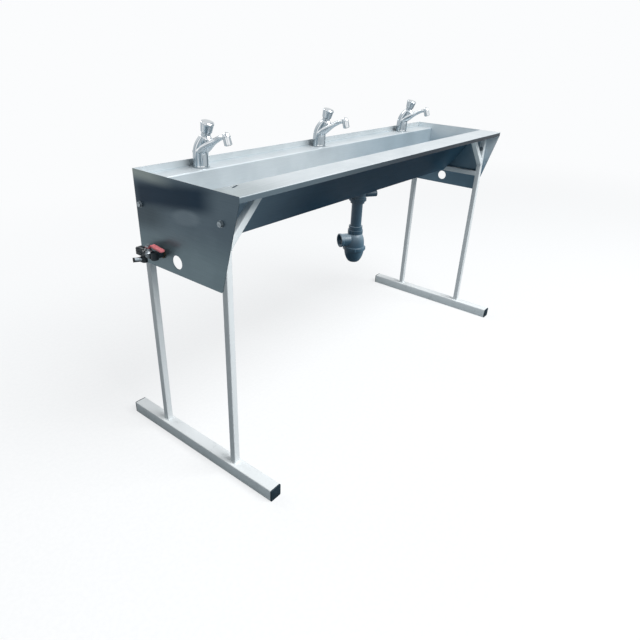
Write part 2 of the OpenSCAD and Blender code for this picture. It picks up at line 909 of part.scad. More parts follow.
// Straight lengths of pipe; each end sits in a socket
module supply_pipes() {
    cut = socket_len - socket_grip;
    elbow_cut = elbow_d / 2;
    left = [left_tap_x, tap_y, manifold_z];
    middle = [middle_tap_x, tap_y, manifold_z];
    right = [right_tap_x, tap_y, manifold_z];
    color("#b8794f") placed() {
        pipe_between([valve_x, inlet_y, inlet_z], run_inlet, elbow_cut, cut);
        pipe_between(run_inlet, run_low, cut, cut);
        pipe_between(run_low, run_high, cut, cut);
        pipe_between(run_high, left, cut, cut);
        pipe_between(left, middle, cut, cut);
        pipe_between(middle, right, cut, cut);
    }
}

// Socket of a fitting along a unit direction, and the room inside it
module socket_out(d) {
    a = d[0] != 0 ? [0, 90 * d[0], 0] : d[1] != 0 ? [-90 * d[1], 0, 0] : [d[2] < 0 ? 180 : 0, 0, 0];
    rotate(a) cylinder(d = pipe_d + 2 * socket_wall, h = socket_len);
}

module socket_in(d) {
    a = d[0] != 0 ? [0, 90 * d[0], 0] : d[1] != 0 ? [-90 * d[1], 0, 0] : [d[2] < 0 ? 180 : 0, 0, 0];
    rotate(a) {
        cylinder(d = pipe_d - 2 * pipe_wall, h = socket_len);
        translate([0, 0, socket_len - socket_grip])
            cylinder(d = pipe_d + 2 * fit_gap, h = socket_grip + overrun);
    }
}

module fitting(p, dirs) {
    translate(p) difference() {
        union() {
            sphere(d = pipe_d + 2 * socket_wall);
            for (d = dirs)
                socket_out(d);
        }
        for (d = dirs)
            socket_in(d);
    }
}

module pipe_fittings() {
    color("#a96b42") placed() {
        fitting(run_inlet, [[-1, 0, 0], [0, 1, 0]]);
        fitting(run_low, [[0, -1, 0], [0, 0, 1]]);
        fitting(run_high, [[0, 0, -1], [1, 0, 0]]);
        fitting([left_tap_x, tap_y, manifold_z], [[-1, 0, 0], [1, 0, 0], [0, 0, 1]]);
        fitting([middle_tap_x, tap_y, manifold_z], [[-1, 0, 0], [1, 0, 0], [0, 0, 1]]);
        fitting([right_tap_x, tap_y, manifold_z], [[-1, 0, 0], [0, 0, 1]]);
    }
}

// Puts a clip's piece on the supply pipe at each of its places
module at_clips() {
    for (s = clip_shares)
        translate([left_tap_x + (right_tap_x - left_tap_x) * s, 0, 0]) children();
}

// Clip: a ring round the pipe, a short arm and a foot against the back wall
module pipe_clips() {
    foot_y = back_wall_y + sheet_t;
    ring_d = pipe_d + 2 * fit_gap + 2 * clip_wall;
    color("#e2e5e6") placed() at_clips() difference() {
        union() {
            rod_x(-clip_w / 2, tap_y, manifold_z, clip_w, ring_d);
            translate([-clip_w / 2, foot_y, manifold_z - clip_wall])
                cube([clip_w, tap_y - pipe_d / 2 - foot_y, 2 * clip_wall]);
            translate([-clip_w / 2, foot_y, manifold_z - clip_foot_h / 2])
                cube([clip_w, clip_wall, clip_foot_h]);
        }
        rod_x(-clip_w, tap_y, manifold_z, 2 * clip_w, pipe_d + 2 * fit_gap);
        for (s = [-1, 1])
            rod_y(0, foot_y - overrun, manifold_z + s * clip_foot_h / 3, clip_wall + 2 * overrun,
                clip_screw_d + 2 * fit_gap);
    }
}

// Screws with round heads on the clips' feet
module clip_screws() {
    foot_y = back_wall_y + sheet_t;
    color("#b9c2c6") placed() at_clips()
        for (s = [-1, 1]) {
            rod_y(0, foot_y, manifold_z + s * clip_foot_h / 3, clip_wall, clip_screw_d);
            rod_y(0, foot_y + clip_wall, manifold_z + s * clip_foot_h / 3,
                clip_screw_head_h, clip_screw_head_d);
        }
}

// Lock nuts that hold the inlet pipe in the left panel
module bulkhead_nuts() {
    color("#b58a3c") placed()
        for (x = [-half_len - bulkhead_h, -half_len + sheet_t])
            translate([x, inlet_y, inlet_z]) rotate([0, 90, 0]) difference() {
                hex(bulkhead_af, bulkhead_h);
                translate([0, 0, -overrun]) cylinder(d = pipe_d + 2 * fit_gap, h = bulkhead_h + 2 * overrun);
            }
}

// Black elbow that turns the inlet from the panel to the valve: a round hub with a room at its bend
module inlet_elbow() {
    l = valve_out - bulkhead_h - fit_gap;
    arm_d = elbow_d - socket_wall;
    color("#1d2529") placed() translate([valve_x, inlet_y, inlet_z]) difference() {
        union() {
            translate([0, 0, -elbow_hub_h / 2]) cylinder(d = elbow_d, h = elbow_hub_h);
            rotate([0, 90, 0]) cylinder(d = arm_d, h = l);
        }
        translate([-elbow_d, elbow_reach, -elbow_d]) cube(2 * elbow_d);
        translate([0, 0, -elbow_room_h / 2]) cylinder(d = elbow_room_d, h = elbow_room_h);
        translate([elbow_d / 2 - fit_gap, 0, 0]) rotate([0, 90, 0])
            cylinder(d = pipe_d + 2 * fit_gap, h = l);
        translate([elbow_room_d / 4, 0, 0]) rotate([0, 90, 0]) cylinder(d = elbow_bore_d, h = l);
        translate([0, elbow_room_d / 4, 0]) rotate([-90, 0, 0]) cylinder(d = elbow_bore_d, h = elbow_reach);
    }
}

// Valve body with hexagonal ends, a room for the ball and a gland for the stem
module valve_body() {
    color("#c2c9cc") placed() difference() {
        union() {
            translate([valve_x, valve_start_y, inlet_z]) rotate([-90, 0, 0]) hex(valve_hex_af, valve_hex_w);
            translate([valve_x, valve_end_y - valve_hex_w, inlet_z]) rotate([-90, 0, 0])
                hex(valve_hex_af, valve_hex_w);
            rod_y(valve_x, valve_start_y + valve_hex_w / 2, inlet_z, valve_len - valve_hex_w,
                valve_hex_af - socket_wall);
            translate([valve_x, stem_y, inlet_z]) sphere(d = valve_body_d);
            rod_z(valve_x, stem_y, inlet_z, gland_h, gland_d);
        }
        translate([valve_x, stem_y, inlet_z]) sphere(d = ball_d + 2 * pass_gap);
        rod_y(valve_x, valve_start_y - overrun, inlet_z, valve_len + 2 * overrun, valve_bore_d);
        rod_z(valve_x, stem_y, inlet_z, gland_h + overrun, stem_d + 2 * run_gap);
    }
}

// Ball with its through bore, and the stem that the lever turns
module valve_ball() {
    stem_low = (ball_bore_d + ball_d) / 4;
    color("#d9dee0") placed() {
        difference() {
            translate([valve_x, stem_y, inlet_z]) sphere(d = ball_d);
            rod_y(valve_x, stem_y - ball_d, inlet_z, 2 * ball_d, ball_bore_d);
        }
        rod_z(valve_x, stem_y, inlet_z + stem_low, stem_top - stem_low, stem_d);
    }
}

// Side view of the lever's bent plate, in [distance towards the user, height over the valve's axis]
lever_line = [
    [-lever_eye_y, lever_rise + lever_t / 2],
    [lever_crank_y / 2, lever_rise + lever_t / 2],
    [lever_crank_y, lever_rise + lever_crank_h + lever_t / 2],
    [lever_len, lever_rise + lever_crank_h - lever_fall + lever_t / 2]];

// Turns an outline drawn in the lever's side view into a plate of width w across X
module lever_side(w) {
    translate([valve_x - w / 2, stem_y, inlet_z]) rotate([90, 0, 90])
        linear_extrude(w) mirror([1, 0]) children();
}

module valve_lever() {
    color("#e0555f") placed() difference() {
        lever_side(lever_w) polygon(sheet_outline(lever_line, lever_t));
        rod_z(valve_x, stem_y, inlet_z + lever_rise - overrun, lever_t + 2 * overrun, stem_d + 2 * fit_gap);
    }
}

// Soft sleeve over the straight end of the lever
module lever_grip() {
    start = lever_len - grip_len + grip_t / 2;
    slot_t = lever_t + 2 * fit_gap;
    slope = lever_fall / (lever_len - lever_crank_y);
    mid = lever_rise + lever_crank_h + lever_t / 2;
    color("#e06a70") placed() difference() {
        hull()
            for (s = [-1, 1])
                for (y = [start, lever_len])
                    translate([valve_x + s * (grip_w - grip_t) / 2, stem_y - y,
                        inlet_z + mid - (y - lever_crank_y) * slope])
                        sphere(d = grip_t, $fn = 24);
        lever_side(lever_w + 2 * fit_gap) polygon(sheet_outline([
            lever_line[2],
            lever_line[3] + fit_gap * turn(lever_line[2], lever_line[3])], slot_t));
    }
}

module lever_nut() {
    low = lever_rise + lever_t + fit_gap;
    color("#c8ced1") placed() translate([valve_x, stem_y, inlet_z + low]) difference() {
        hex(lever_nut_af, lever_nut_h);
        translate([0, 0, -overrun]) cylinder(d = stem_d + 2 * fit_gap, h = lever_nut_h + 2 * overrun);
    }
}

// Black inlet tee behind the valve, ribbed for grip, with a branch down to the hose tail
module inlet_tee() {
    color("#1d2529") placed() difference() {
        union() {
            rod_y(valve_x, valve_end_y, inlet_z, tee_len, tee_d);
            for (i = [0:tee_ribs - 1])
                translate([valve_x, valve_end_y + tee_len / 2, inlet_z]) rotate([0, 360 * i / tee_ribs, 0])
                    translate([0, 0, tee_d / 2]) cube([2 * tee_rib, tee_len, 2 * tee_rib], center = true);
            rod_z(valve_x, branch_y, inlet_z - branch_drop - branch_d / 2,
                branch_drop + branch_d / 2, branch_d);
        }
        rod_y(valve_x, valve_end_y - overrun, inlet_z, tee_len + 2 * overrun, valve_bore_d);
        rod_z(valve_x, branch_y, inlet_z - branch_drop, branch_drop, tail_bore_d);
        on_tail() cylinder(d = tail_neck_d + 2 * fit_gap, h = branch_d);
    }
}

// Lobed cap that closes the tee's far end
module tee_cap() {
    color("#171d20") placed() translate([valve_x, valve_end_y + tee_len, inlet_z]) rotate([-90, 0, 0]) {
        cylinder(d = tee_cap_d, h = tee_cap_h);
        for (i = [0:3])
            rotate([0, 0, 45 + 90 * i]) translate([tee_cap_d / 2 - cap_lobe_d / 5, 0, 0])
                cylinder(d = cap_lobe_d, h = tee_cap_h);
    }
}

// Puts a piece on the hose tail's axis, with zero at the branch's axis
module on_tail() {
    translate([valve_x, branch_y, inlet_z - branch_drop]) rotate([-90, 0, tail_turn]) children();
}

// Tube with a neck inside the branch and a collar against it
module hose_tail() {
    neck = branch_d / 2 + fit_gap;
    color("#7f8a90") placed() on_tail() rotate_extrude() polygon([
        [tail_bore_d / 2, tail_neck_d / 2],
        [tail_neck_d / 2, tail_neck_d / 2],
        [tail_neck_d / 2, neck],
        [tail_collar_d / 2, neck],
        [tail_collar_d / 2, neck + tail_collar_h],
        [tail_d / 2, neck + tail_collar_h],
        [tail_d / 2, tail_len - tail_seal_h],
        [tail_bore_d / 2, tail_len - tail_seal_h]]);
}

// Seal on the hose tail's mouth
module tail_seal() {
    color("#15191b") placed() on_tail() translate([0, 0, tail_len - tail_seal_h])
        ring(tail_d, tail_bore_d, tail_seal_h);
}

// Puts a waste piece on the waste's axis at height z
module at_waste(z) {
    translate([waste_x, waste_y, z]) children();
}

// Flanged strainer in the basin floor, with a ring of holes round a middle one
module waste_strainer() {
    color("#c9d0d4") placed() at_waste(floor_top) difference() {
        union() {
            cylinder(d = strainer_d, h = strainer_t);
            translate([0, 0, -strainer_tube_h]) cylinder(d = strainer_tube_d, h = strainer_tube_h);
        }
        translate([0, 0, -strainer_tube_h - overrun])
            cylinder(d = strainer_tube_d - 2 * strainer_wall, h = strainer_tube_h + overrun);
        translate([0, 0, -overrun]) cylinder(d = strainer_hole_d, h = strainer_t + 2 * overrun);
        for (i = [0:strainer_holes - 1])
            rotate([0, 0, 360 * i / strainer_holes]) translate([strainer_ring_r, 0, -overrun])
                cylinder(d = strainer_hole_d, h = strainer_t + 2 * overrun);
    }
}

module waste_gasket() {
    color("#2b3236") placed() at_waste(gasket_low)
        ring(waste_body_d, strainer_tube_d + 2 * fit_gap, gasket_t);
}

// Turns +Z into the overflow boss's axis, which points away from the trap's outlet
module on_boss() {
    at_waste(waste_body_low + waste_body_h / 2) rotate([90, 0, outlet_turn]) children();
}

// Waste body under the floor, with an overflow boss at its side
module waste_body() {
    color("#26343c") placed() difference() {
        union() {
            at_waste(waste_body_low) cylinder(d = waste_body_d, h = waste_body_h);
            on_boss() cylinder(d = boss_d, h = boss_reach - plug_t);
        }
        at_waste(waste_body_low - overrun)
            cylinder(d = strainer_tube_d + 2 * fit_gap, h = waste_body_h + 2 * overrun);
        on_boss() cylinder(d = boss_d - 2 * boss_wall, h = boss_reach);
    }
}

// Plug that closes the overflow boss
module overflow_plug() {
    color("#1d282e") placed() on_boss() translate([0, 0, boss_reach - plug_t])
        cylinder(d = boss_d, h = plug_t);
}

// Round nut with grip ribs, bored for the waste pipe
module ribbed_nut(d, h, bore) {
    difference() {
        union() {
            cylinder(d = d - nut_rib_t, h = h);
            for (i = [0:nut_ribs - 1])
                rotate([0, 0, 360 * i / nut_ribs]) translate([d / 2 - nut_rib_t, 0, h / 2])
                    cube([2 * nut_rib_t, 2 * nut_rib_t, h], center = true);
        }
        translate([0, 0, -overrun]) cylinder(d = bore, h = h + 2 * overrun);
    }
}

module waste_backnut() {
    color("#2a3840") placed() at_waste(backnut_low)
        ribbed_nut(backnut_d, waste_backnut_h, waste_d + 2 * fit_gap);
}

module trap_inlet_nut() {
    color("#26343c") placed() at_waste(inlet_nut_low)
        ribbed_nut(inlet_nut_d, inlet_nut_h, waste_d + 2 * fit_gap);
}

// Waste pipe from the waste body down into the trap
module waste_pipe() {
    color("#33434d") placed() at_waste(pipe_end_z)
        ring(waste_d, waste_d - 2 * trap_wall, waste_body_low - pipe_end_z);
}

// Nut that holds the pipe in the trap, wider in its lower half
module trap_collar_nut() {
    color("#2a3840") placed() at_waste(collar_low) {
        ribbed_nut(collar_d, collar_h, waste_d + 2 * fit_gap);
        translate([0, 0, collar_h]) ring(collar_top_d, waste_d + 2 * fit_gap, collar_top_h);
    }
}

module trap_seal() {
    color("#1a1f22") placed() at_waste(collar_low - seal_t)
        ring(trap_lip_d - 2 * trap_wall, waste_d + 2 * fit_gap, seal_t);
}

// Trap body: a domed shell with a ring below and an open socket to the side
module trap_body() {
    lip_r = trap_lip_d / 2;
    low_r = trap_d / 2;
    color("#2f3f49") placed() at_waste(trap_low) difference() {
        union() {
            rotate([0, 0, outlet_turn]) rotate_extrude() polygon([
                [0, -ring_h],
                [cup_ring_d / 2, -ring_h],
                [cup_ring_d / 2, 0],
                [low_r, 0],
                [low_r - trap_wall / 2, trap_h / 2],
                [lip_r, trap_h],
                [0, trap_h]]);
            for (i = [0:ring_lugs - 1])
                rotate([0, 0, 360 * i / ring_lugs + ring_lug_turn])
                    translate([cup_ring_d / 2 - ring_lug / 2, -ring_lug, -ring_h + trap_wall / 2])
                        cube([ring_lug, 2 * ring_lug, ring_h - trap_wall]);
            translate([0, 0, outlet_z - trap_low]) rotate([-90, 0, outlet_turn])
                cylinder(d = outlet_sock_d, h = outlet_reach);
        }
        rotate([0, 0, outlet_turn]) rotate_extrude() polygon([
            [0, -ring_h - overrun],
            [cup_d / 2 + fit_gap, -ring_h - overrun],
            [cup_d / 2 + fit_gap, -trap_wall],
            [low_r - trap_wall, -trap_wall],
            [low_r - 3 * trap_wall / 2, trap_h / 2],
            [lip_r - trap_wall, trap_h * 3 / 4],
            [lip_r - trap_wall, trap_h + overrun],
            [0, trap_h + overrun]]);
        translate([0, 0, outlet_z - trap_low]) rotate([-90, 0, outlet_turn]) {
            cylinder(d = outlet_bore_d, h = outlet_reach + overrun);
            translate([0, 0, outlet_reach - outlet_sock_depth])
                cylinder(d = outlet_sock_bore_d, h = outlet_sock_depth + overrun);
        }
    }
}

// Cup of the trap: a plug into the ring and a rounded bowl below
module trap_cup() {
    r = cup_d / 2;
    floor_r = cup_floor_d / 2;
    round_h = cup_h * 0.6;
    bowl = [for (i = [0:cup_steps])
        let(a = 90 * i / cup_steps)
        [floor_r + (r - floor_r) * cos(a), -cup_h + round_h * (1 - sin(a))]];
    inner = [for (i = [cup_steps:-1:0])
        let(a = 90 * i / cup_steps)
        [floor_r + (r - trap_wall - floor_r) * cos(a), -cup_h + trap_wall + round_h * (1 - sin(a))]];
    plug_top = ring_h - trap_wall - seal_t;
    color("#263640") placed() at_waste(cup_top) rotate_extrude() polygon(concat(
        [[0, -cup_h + trap_wall], [0, -cup_h]],
        [for (i = [cup_steps:-1:0]) bowl[i]],
        [[r, plug_top], [r - trap_wall, plug_top]],
        [for (i = [cup_steps:-1:0]) inner[i]]));
}

module cup_seal() {
    color("#1a1f22") placed() at_waste(trap_low - trap_wall - seal_t)
        ring(cup_d, cup_d - 4 * trap_wall, seal_t);
}

trough_shell();
left_end_panel();
right_end_panel();
left_base_tube();
right_base_tube();
left_tube_caps();
right_tube_caps();
left_rear_upright();
left_front_upright();
right_rear_upright();
right_front_upright();
left_side_bar();
right_side_bar();
left_brace();
right_brace();
frame_bolts();
frame_washers();
frame_nuts();
left_tap_body();
middle_tap_body();
right_tap_body();
left_tap_button();
middle_tap_button();
right_tap_button();
left_tap_cartridge();
middle_tap_cartridge();
right_tap_cartridge();
tap_springs();
tap_aerators();
tap_base_seals();
tap_backnuts();
tap_washers();
tap_connectors();
supply_pipes();
pipe_fittings();
pipe_clips();
clip_screws();
bulkhead_nuts();
valve_body();
valve_ball();
valve_lever();
lever_grip();
lever_nut();
inlet_elbow();
inlet_tee();
tee_cap();
hose_tail();
tail_seal();
waste_strainer();
waste_gasket();
waste_body();
overflow_plug();
waste_backnut();
trap_inlet_nut();
waste_pipe();
trap_collar_nut();
trap_seal();
trap_body();
trap_cup();
cup_seal();
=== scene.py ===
import math

import bmesh
import bpy
import numpy as np
from bpy.props import FloatProperty, FloatVectorProperty, PointerProperty
from mathutils import Matrix, Vector


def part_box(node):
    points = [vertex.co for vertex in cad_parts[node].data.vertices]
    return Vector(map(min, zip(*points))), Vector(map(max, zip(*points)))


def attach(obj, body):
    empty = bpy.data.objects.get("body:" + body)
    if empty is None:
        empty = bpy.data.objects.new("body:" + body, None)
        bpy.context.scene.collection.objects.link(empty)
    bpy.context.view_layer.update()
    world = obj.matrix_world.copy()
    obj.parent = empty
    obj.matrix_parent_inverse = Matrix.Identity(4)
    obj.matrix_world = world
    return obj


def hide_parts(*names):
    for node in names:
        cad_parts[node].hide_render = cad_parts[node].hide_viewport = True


bl_info = {
    "name": "Wash Trough Looks",
    "version": (1, 0, 0),
    "blender": (4, 5, 0),
    "location": "3D View > Sidebar > Wash Trough",
    "description": "Finishes and rounded pieces of a freestanding wash trough, built on its CAD frame",
    "category": "Object",
}

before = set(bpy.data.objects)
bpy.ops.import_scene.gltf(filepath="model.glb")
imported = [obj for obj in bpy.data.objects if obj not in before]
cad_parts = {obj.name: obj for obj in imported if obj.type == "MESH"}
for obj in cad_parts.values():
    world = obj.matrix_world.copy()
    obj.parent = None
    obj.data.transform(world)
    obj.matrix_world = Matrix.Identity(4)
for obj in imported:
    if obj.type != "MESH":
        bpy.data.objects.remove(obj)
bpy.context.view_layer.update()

MM = 0.001
SIDES = {"left": -1, "right": 1}
TAPS = ("left", "middle", "right")


# Sizes and colours

def linear(hex_colour):
    """Linear RGBA of an sRGB hex colour: c / 12.92 up to 0.04045, else ((c + 0.055) / 1.055) ^ 2.4"""
    srgb = [int(hex_colour[i:i + 2], 16) / 255 for i in (1, 3, 5)]
    return tuple(c / 12.92 if c <= 0.04045 else ((c + 0.055) / 1.055) ** 2.4 for c in srgb) + (1.0,)


def colour(name, description, hex_colour):
    """Colour property whose default is written as sRGB hex"""
    return FloatVectorProperty(name=name, description=description, subtype="COLOR", size=4, min=0, max=1,
                               default=linear(hex_colour))


def length(name, description, millimetres):
    """Length property whose default is written in millimetres"""
    return FloatProperty(name=name, description=description, unit="LENGTH", precision=4,
                         default=millimetres * MM)


def angle(name, description, degrees):
    """Angle property whose default is written in degrees"""
    return FloatProperty(name=name, description=description, subtype="ANGLE", unit="ROTATION",
                         default=math.radians(degrees))


# Second tones, which the finishes blend into their main colours. Most are painted light, shade and
# reflections
# for the sheet, panels, tubes' paler parts, trap, plating and floor; the grain, cloud, worn and film tones
# are the things' own colours
TONES = {name: linear(code) for name, code in {
    "wall_right": "#a3b2bb", "upstand": "#bdc4c7", "upstand_left": "#bfc6ca", "fold": "#a5b1b7",
    "rim_left": "#a3adb0", "flange_right": "#0a1d2a", "slot": "#56626a", "outside_left": "#8298a8",
    "outside_right": "#45697f", "trough_back": "#6f7f88", "steel_grain": "#8c999f",
    "trough_cloud": "#a8b6bd", "panel_cloud": "#9fb0b8", "panel_low": "#697a81", "panel_shade": "#334149",
    "panel_spot": "#66747d", "panel_inside_low": "#6b8799", "basin_end_top": "#e6eef2",
    "basin_end": "#b3c2cb", "tube_painted_lift": "#eaf0f2", "trap_side": "#2e4c5f", "dust_and_painted_sheen": "#a5b9c6",
    "ceiling": "#c9ced1", "nickel_dark": "#3a4348", "silicone": "#8f999e", "aged_brass": "#4a4436",
    "worn_black": "#3a464c", "worn_acetal": "#c4c6c4", "worn_nylon": "#c0c2c1",
    "worn_silicone": "#7c868b", "worn_rubber": "#35393b", "worn_red": "#de6e74", "zinc_film": "#2e383f",
    "brass_film": "#8f7440", "copper_film": "#7d5238", "solder_film": "#8c6a52", "oxide_film": "#2c2b25",
    "stainless_film": "#97a3a9", "studio": "#fbfcfd", "sky": "#eef2f5", "floor_grain": "#eceff1",
    "ground": "#1d2b34", "floor_bounce": "#8e989d"}.items()}


class WashTroughColours(bpy.types.PropertyGroup):
    """Colours of the finishes"""

    sheet_top: colour("Sheet, upper side", "Satin stainless sheet where it faces up", "#cfd6da")
    # Painted shade: the sheet a little darker where it faces the front
    sheet_wall: colour("Sheet, back wall", "Satin stainless sheet on the basin's back wall", "#c7cfd3")
    # Painted reflection of the shaded floor under the trough: the outside's very dark tone, not the sheet's
    # own colour
    sheet_under_painted_shade: colour("Sheet, outside", "Mill finish on the trough's outside", "#093c54")
    # Painted shade on the downturned flange
    flange: colour("Front flange", "Downturned edge of the rim", "#62717a")
    # Painted reflection of the floor on the panels' outer side and painted light on their inner side, in
    # the tones below
    panel: colour("End panel", "Middle tone of the end panels", "#54636d")
    panel_dark: colour("End panel, dark band", "Darkest tone of the left end panel", "#0c2739")
    panel_pale: colour("End panel, pale edge", "Palest tone of the left end panel", "#87918f")
    panel_inside: colour("End panel, inside", "Inner face of the end panels beside the trough", "#668aa0")
    panel_front: colour("End panel, inner front", "Inner face of the end panels at the front", "#e3edf3")
    tube: colour("Tube coating", "Satin grey coating on the leg frames", "#dfe4e6")
    tube_dirt: colour("Tube scuffs", "Scuffs and dust on the leg frames", "#a9b0b1")
    cap: colour("End caps", "Black plastic caps of the base tubes", "#1b2c36")
    chrome: colour("Chrome", "Bright tone of the taps' chrome", "#eef1f3")
    # Painted reflection: the dark streaks of the chrome
    chrome_dark: colour("Chrome, dark streak", "Dark tone of the taps' chrome", "#8b99a2")
    zinc: colour("Zinc", "Zinc plated fixings", "#8f999f")
    brass: colour("Brass", "Turned brass nuts", "#b8934f")
    copper: colour("Copper", "Drawn copper pipe", "#b8774f")
    nickel: colour("Nickel", "Nickel plated valve", "#868f95")
    white: colour("White plastic", "Pipe clips and washers", "#dcdedd")
    rubber: colour("Rubber", "Seals and gaskets", "#26292b")
    fitting: colour("Black fitting", "Glass filled nylon of the inlet fittings", "#1b282f")
    lever: colour("Lever coating", "Red coating on the valve's lever", "#dd656c")
    sleeve: colour("Lever sleeve", "Red dipped sleeve on the valve's lever", "#f98e94")
    trap: colour("Trap plastic", "Dark grey polypropylene of the trap", "#617f92")
    floor: colour("Floor", "Pale studio floor", "#f4f6f7")


class WashTroughSizes(bpy.types.PropertyGroup):
    """Sizes of the rounded pieces that the CAD model leaves plain"""

    tube_radius: length("Tube corner radius", "Outer corner radius of the square tubes", 2.4)
    tube_wall: length("Tube wall", "Wall of the square tubes", 1.5)
    weld: length("Weld bead", "Radius of the weld beads", 1.9)
    cap_plate: length("Cap plate", "Thickness of the end caps outside the tubes", 4.0)
    cap_plug: length("Cap plug", "Depth of the end caps inside the tubes", 18.0)
    tap_lean: length("Neck lean", "Distance that the taps' necks lean to the user", 28.0)
    tap_neck: length("Neck height", "Height of the taps' necks", 87.0)
    spout_reach: length("Spout reach", "Distance from a tap's axis to its outlet", 117.0)
    spout_height: length("Outlet height", "Height of a tap's outlet over its base", 73.0)
    button_tilt: angle("Button tilt", "Tilt of the push buttons to the user", 15.0)
    outlet_tilt: angle("Outlet tilt", "Tilt of the taps' outlets", 18.0)


class WashTroughCamera(bpy.types.PropertyGroup):
    """Camera at the photograph's viewing angle"""

    focal: FloatProperty(name="Focal length", description="Focal length on a 36 mm sensor", unit="CAMERA",
                         default=29.57)
    azimuth: angle("Azimuth", "Turn of the view from +Y, positive to the left", -53.3)
    elevation: angle("Elevation", "Height of the view over the horizon", 27.8)
    roll: angle("Roll", "Roll of the camera", 2.7)
    left_of_middle: length("Left of the middle", "Distance to the left of the trough's middle", 1579.3)
    before_rim: length("In front of the rim", "Distance in front of the rim", 837.7)
    height: length("Height", "Height over the floor", 1158.3)


# Surfaces, computed as whole arrays

def round_angles(count):
    """Angles of even steps once round"""
    return np.linspace(0, 2 * math.pi, count, endpoint=False)


def rounded_square(width, height, radius, steps=5):
    """Outline of a rectangle whose corners are quarter circles: centre + radius (cos a, sin a)"""
    turn = np.arange(4)[:, None] * math.pi / 2 + np.linspace(0, math.pi / 2, steps + 1)[None, :]
    corner = np.array([[1, 1], [-1, 1], [-1, -1], [1, -1]]) * (np.array([width, height]) / 2 - radius)
    arc = np.stack([np.cos(turn), np.sin(turn)], -1) * radius
    return (corner[:, None, :] + arc).reshape(-1, 2)


def softened(corners, radius, steps=4):
    """Line in metres from corners and radii in millimetres: each inner corner p becomes the curve
    (1-s)^2 a + 2s(1-s) p + s^2 b, with a and b radius away from p"""
    corners = np.array(corners, float) * MM
    p = corners[1:-1]
    before, after = corners[:-2] - p, corners[2:] - p
    size_before, size_after = (np.linalg.norm(way, axis=1, keepdims=True) for way in (before, after))
    reach = np.minimum(np.reshape(radius, (-1, 1)) * MM, 0.48 * np.minimum(size_before, size_after))
    a, b = p + before / size_before * reach, p + after / size_after * reach
    s = np.linspace(0, 1, steps + 1)[None, :, None]
    arcs = (1 - s) ** 2 * a[:, None] + 2 * s * (1 - s) * p[:, None] + s ** 2 * b[:, None]
    return np.concatenate([corners[:1], arcs.reshape(-1, 2), corners[-1:]])


def turned(profile, turns=72, ribs=None):
    """Profile (r, z) carried round Z: (r cos a, r sin a, z); ribs gives what is added to r"""
    around = round_angles(turns)
    radius, height = (np.repeat(profile[:, k:k + 1], turns, axis=1) for k in (0, 1))
    if ribs is not None:
        radius = radius + ribs(around, profile)
    return np.stack([radius * np.cos(around), radius * np.sin(around), height], -1)


def capped(grid):
    """Adds the mean of its first and last rows before and after a grid, so that the surface closes"""
    first, last = (np.repeat(row.mean(1, keepdims=True), grid.shape[1], axis=1)
                   for row in (grid[:1], grid[-1:]))
    return np.concatenate([first, grid, last])


def lofted(y, z, tilts, widths, heights, power):
    """Sections |x / w|^n + |y / h|^n = 1 carried along a line (y, z) in the plane x = 0, each turned by
    its tilt, and closed at both ends"""
    y, z, tilt, width, height, power = (np.reshape(part, (-1, 1))
                                        for part in (y, z, tilts, widths, heights, power))
    around = round_angles(48)
    cos, sin = np.cos(around), np.sin(around)
    across = width / 2 * np.sign(cos) * np.abs(cos) ** (2 / power)
    up = height / 2 * np.sign(sin) * np.abs(sin) ** (2 / power)
    return capped(np.stack([across, y - up * np.cos(tilt), z - up * np.sin(tilt)], -1))


def smooth_stations(stations, count, lengths=4):
    """Rows of a table of stations read at count even steps by a cubic through them (Catmull and Rom's
    rule). The first columns are lengths, given in millimetres and returned in metres"""
    table = np.array(stations, float)
    table[:, :lengths] *= MM
    padded = np.vstack([2 * table[0] - table[1], table, 2 * table[-1] - table[-2]])
    t = np.linspace(0, len(table) - 1, count)
    i = np.minimum(t.astype(int), len(table) - 2)
    s = (t - i)[:, None]
    p0, p1, p2, p3 = (padded[i + k] for k in range(4))
    return 0.5 * (2 * p1 + (p2 - p0) * s + (2 * p0 - 5 * p1 + 4 * p2 - p3) * s ** 2
                  + (3 * p1 - p0 - 3 * p2 + p3) * s ** 3)


def moved(points, matrix):
    """Points turned and shifted by a 4 x 4 matrix"""
    m = np.array(matrix, float)
    return points @ m[:3, :3].T + m[:3, 3]


def cut_tube(start, end, side, width, wall, radius, cuts):
    """Square tube: each outline point runs along the axis to the end planes; four strips close it"""
    axis = (end - start) / np.linalg.norm(end - start)
    across = np.stack([side, np.cross(axis, side)])

    def ring(outline, origin, normal):
        flat = origin + outline @ across
        return flat + ((origin - flat) @ normal / (axis @ normal))[:, None] * axis

    outer = rounded_square(width, width, radius)
    inner = rounded_square(width - 2 * wall, width - 2 * wall, max(radius - wall, 0.3 * MM))
    first, last = (start, cuts[0]), (end, cuts[1])
    return np.stack([ring(outer, *first), ring(outer, *last), ring(inner, *last), ring(inner, *first),
                     ring(outer, *first)])


def bead(path, outward, radius, pitch):
    """Weld bead: a circle of radius r (1 + 0.14 cos 2 pi s / pitch) carried round a closed path"""
    closed = np.vstack([path, path[:1]])
    stops = np.append(0, np.cumsum(np.linalg.norm(np.diff(closed, axis=0), axis=1)))
    at = np.linspace(0, stops[-1], max(int(stops[-1] / (pitch / 5)), 24), endpoint=False)
    points = np.stack([np.interp(at, stops, closed[:, k]) for k in range(3)], -1)
    tangent = np.roll(points, -1, axis=0) - np.roll(points, 1, axis=0)
    away = np.cross(tangent / np.linalg.norm(tangent, axis=1, keepdims=True), outward)
    around = round_angles(10)[:, None]
    size = radius * (1 + 0.14 * np.cos(2 * math.pi * at / pitch))[:, None, None]
    return points[:, None] + size * (np.cos(around) * away[:, None] + np.sin(around) * outward)


def in_plane(outline, axis, place):
    """Flat outline as points in the plane through a place that is square to an axis"""
    points = np.tile(np.array(place, float), (len(outline), 1))
    points[:, [k for k in range(3) if k != axis]] += outline
    return points


# Pieces

def add_object(name, data):
    """New object in the scene"""
    made = bpy.data.objects.new(name, data)
    bpy.context.scene.collection.objects.link(made)
    return made


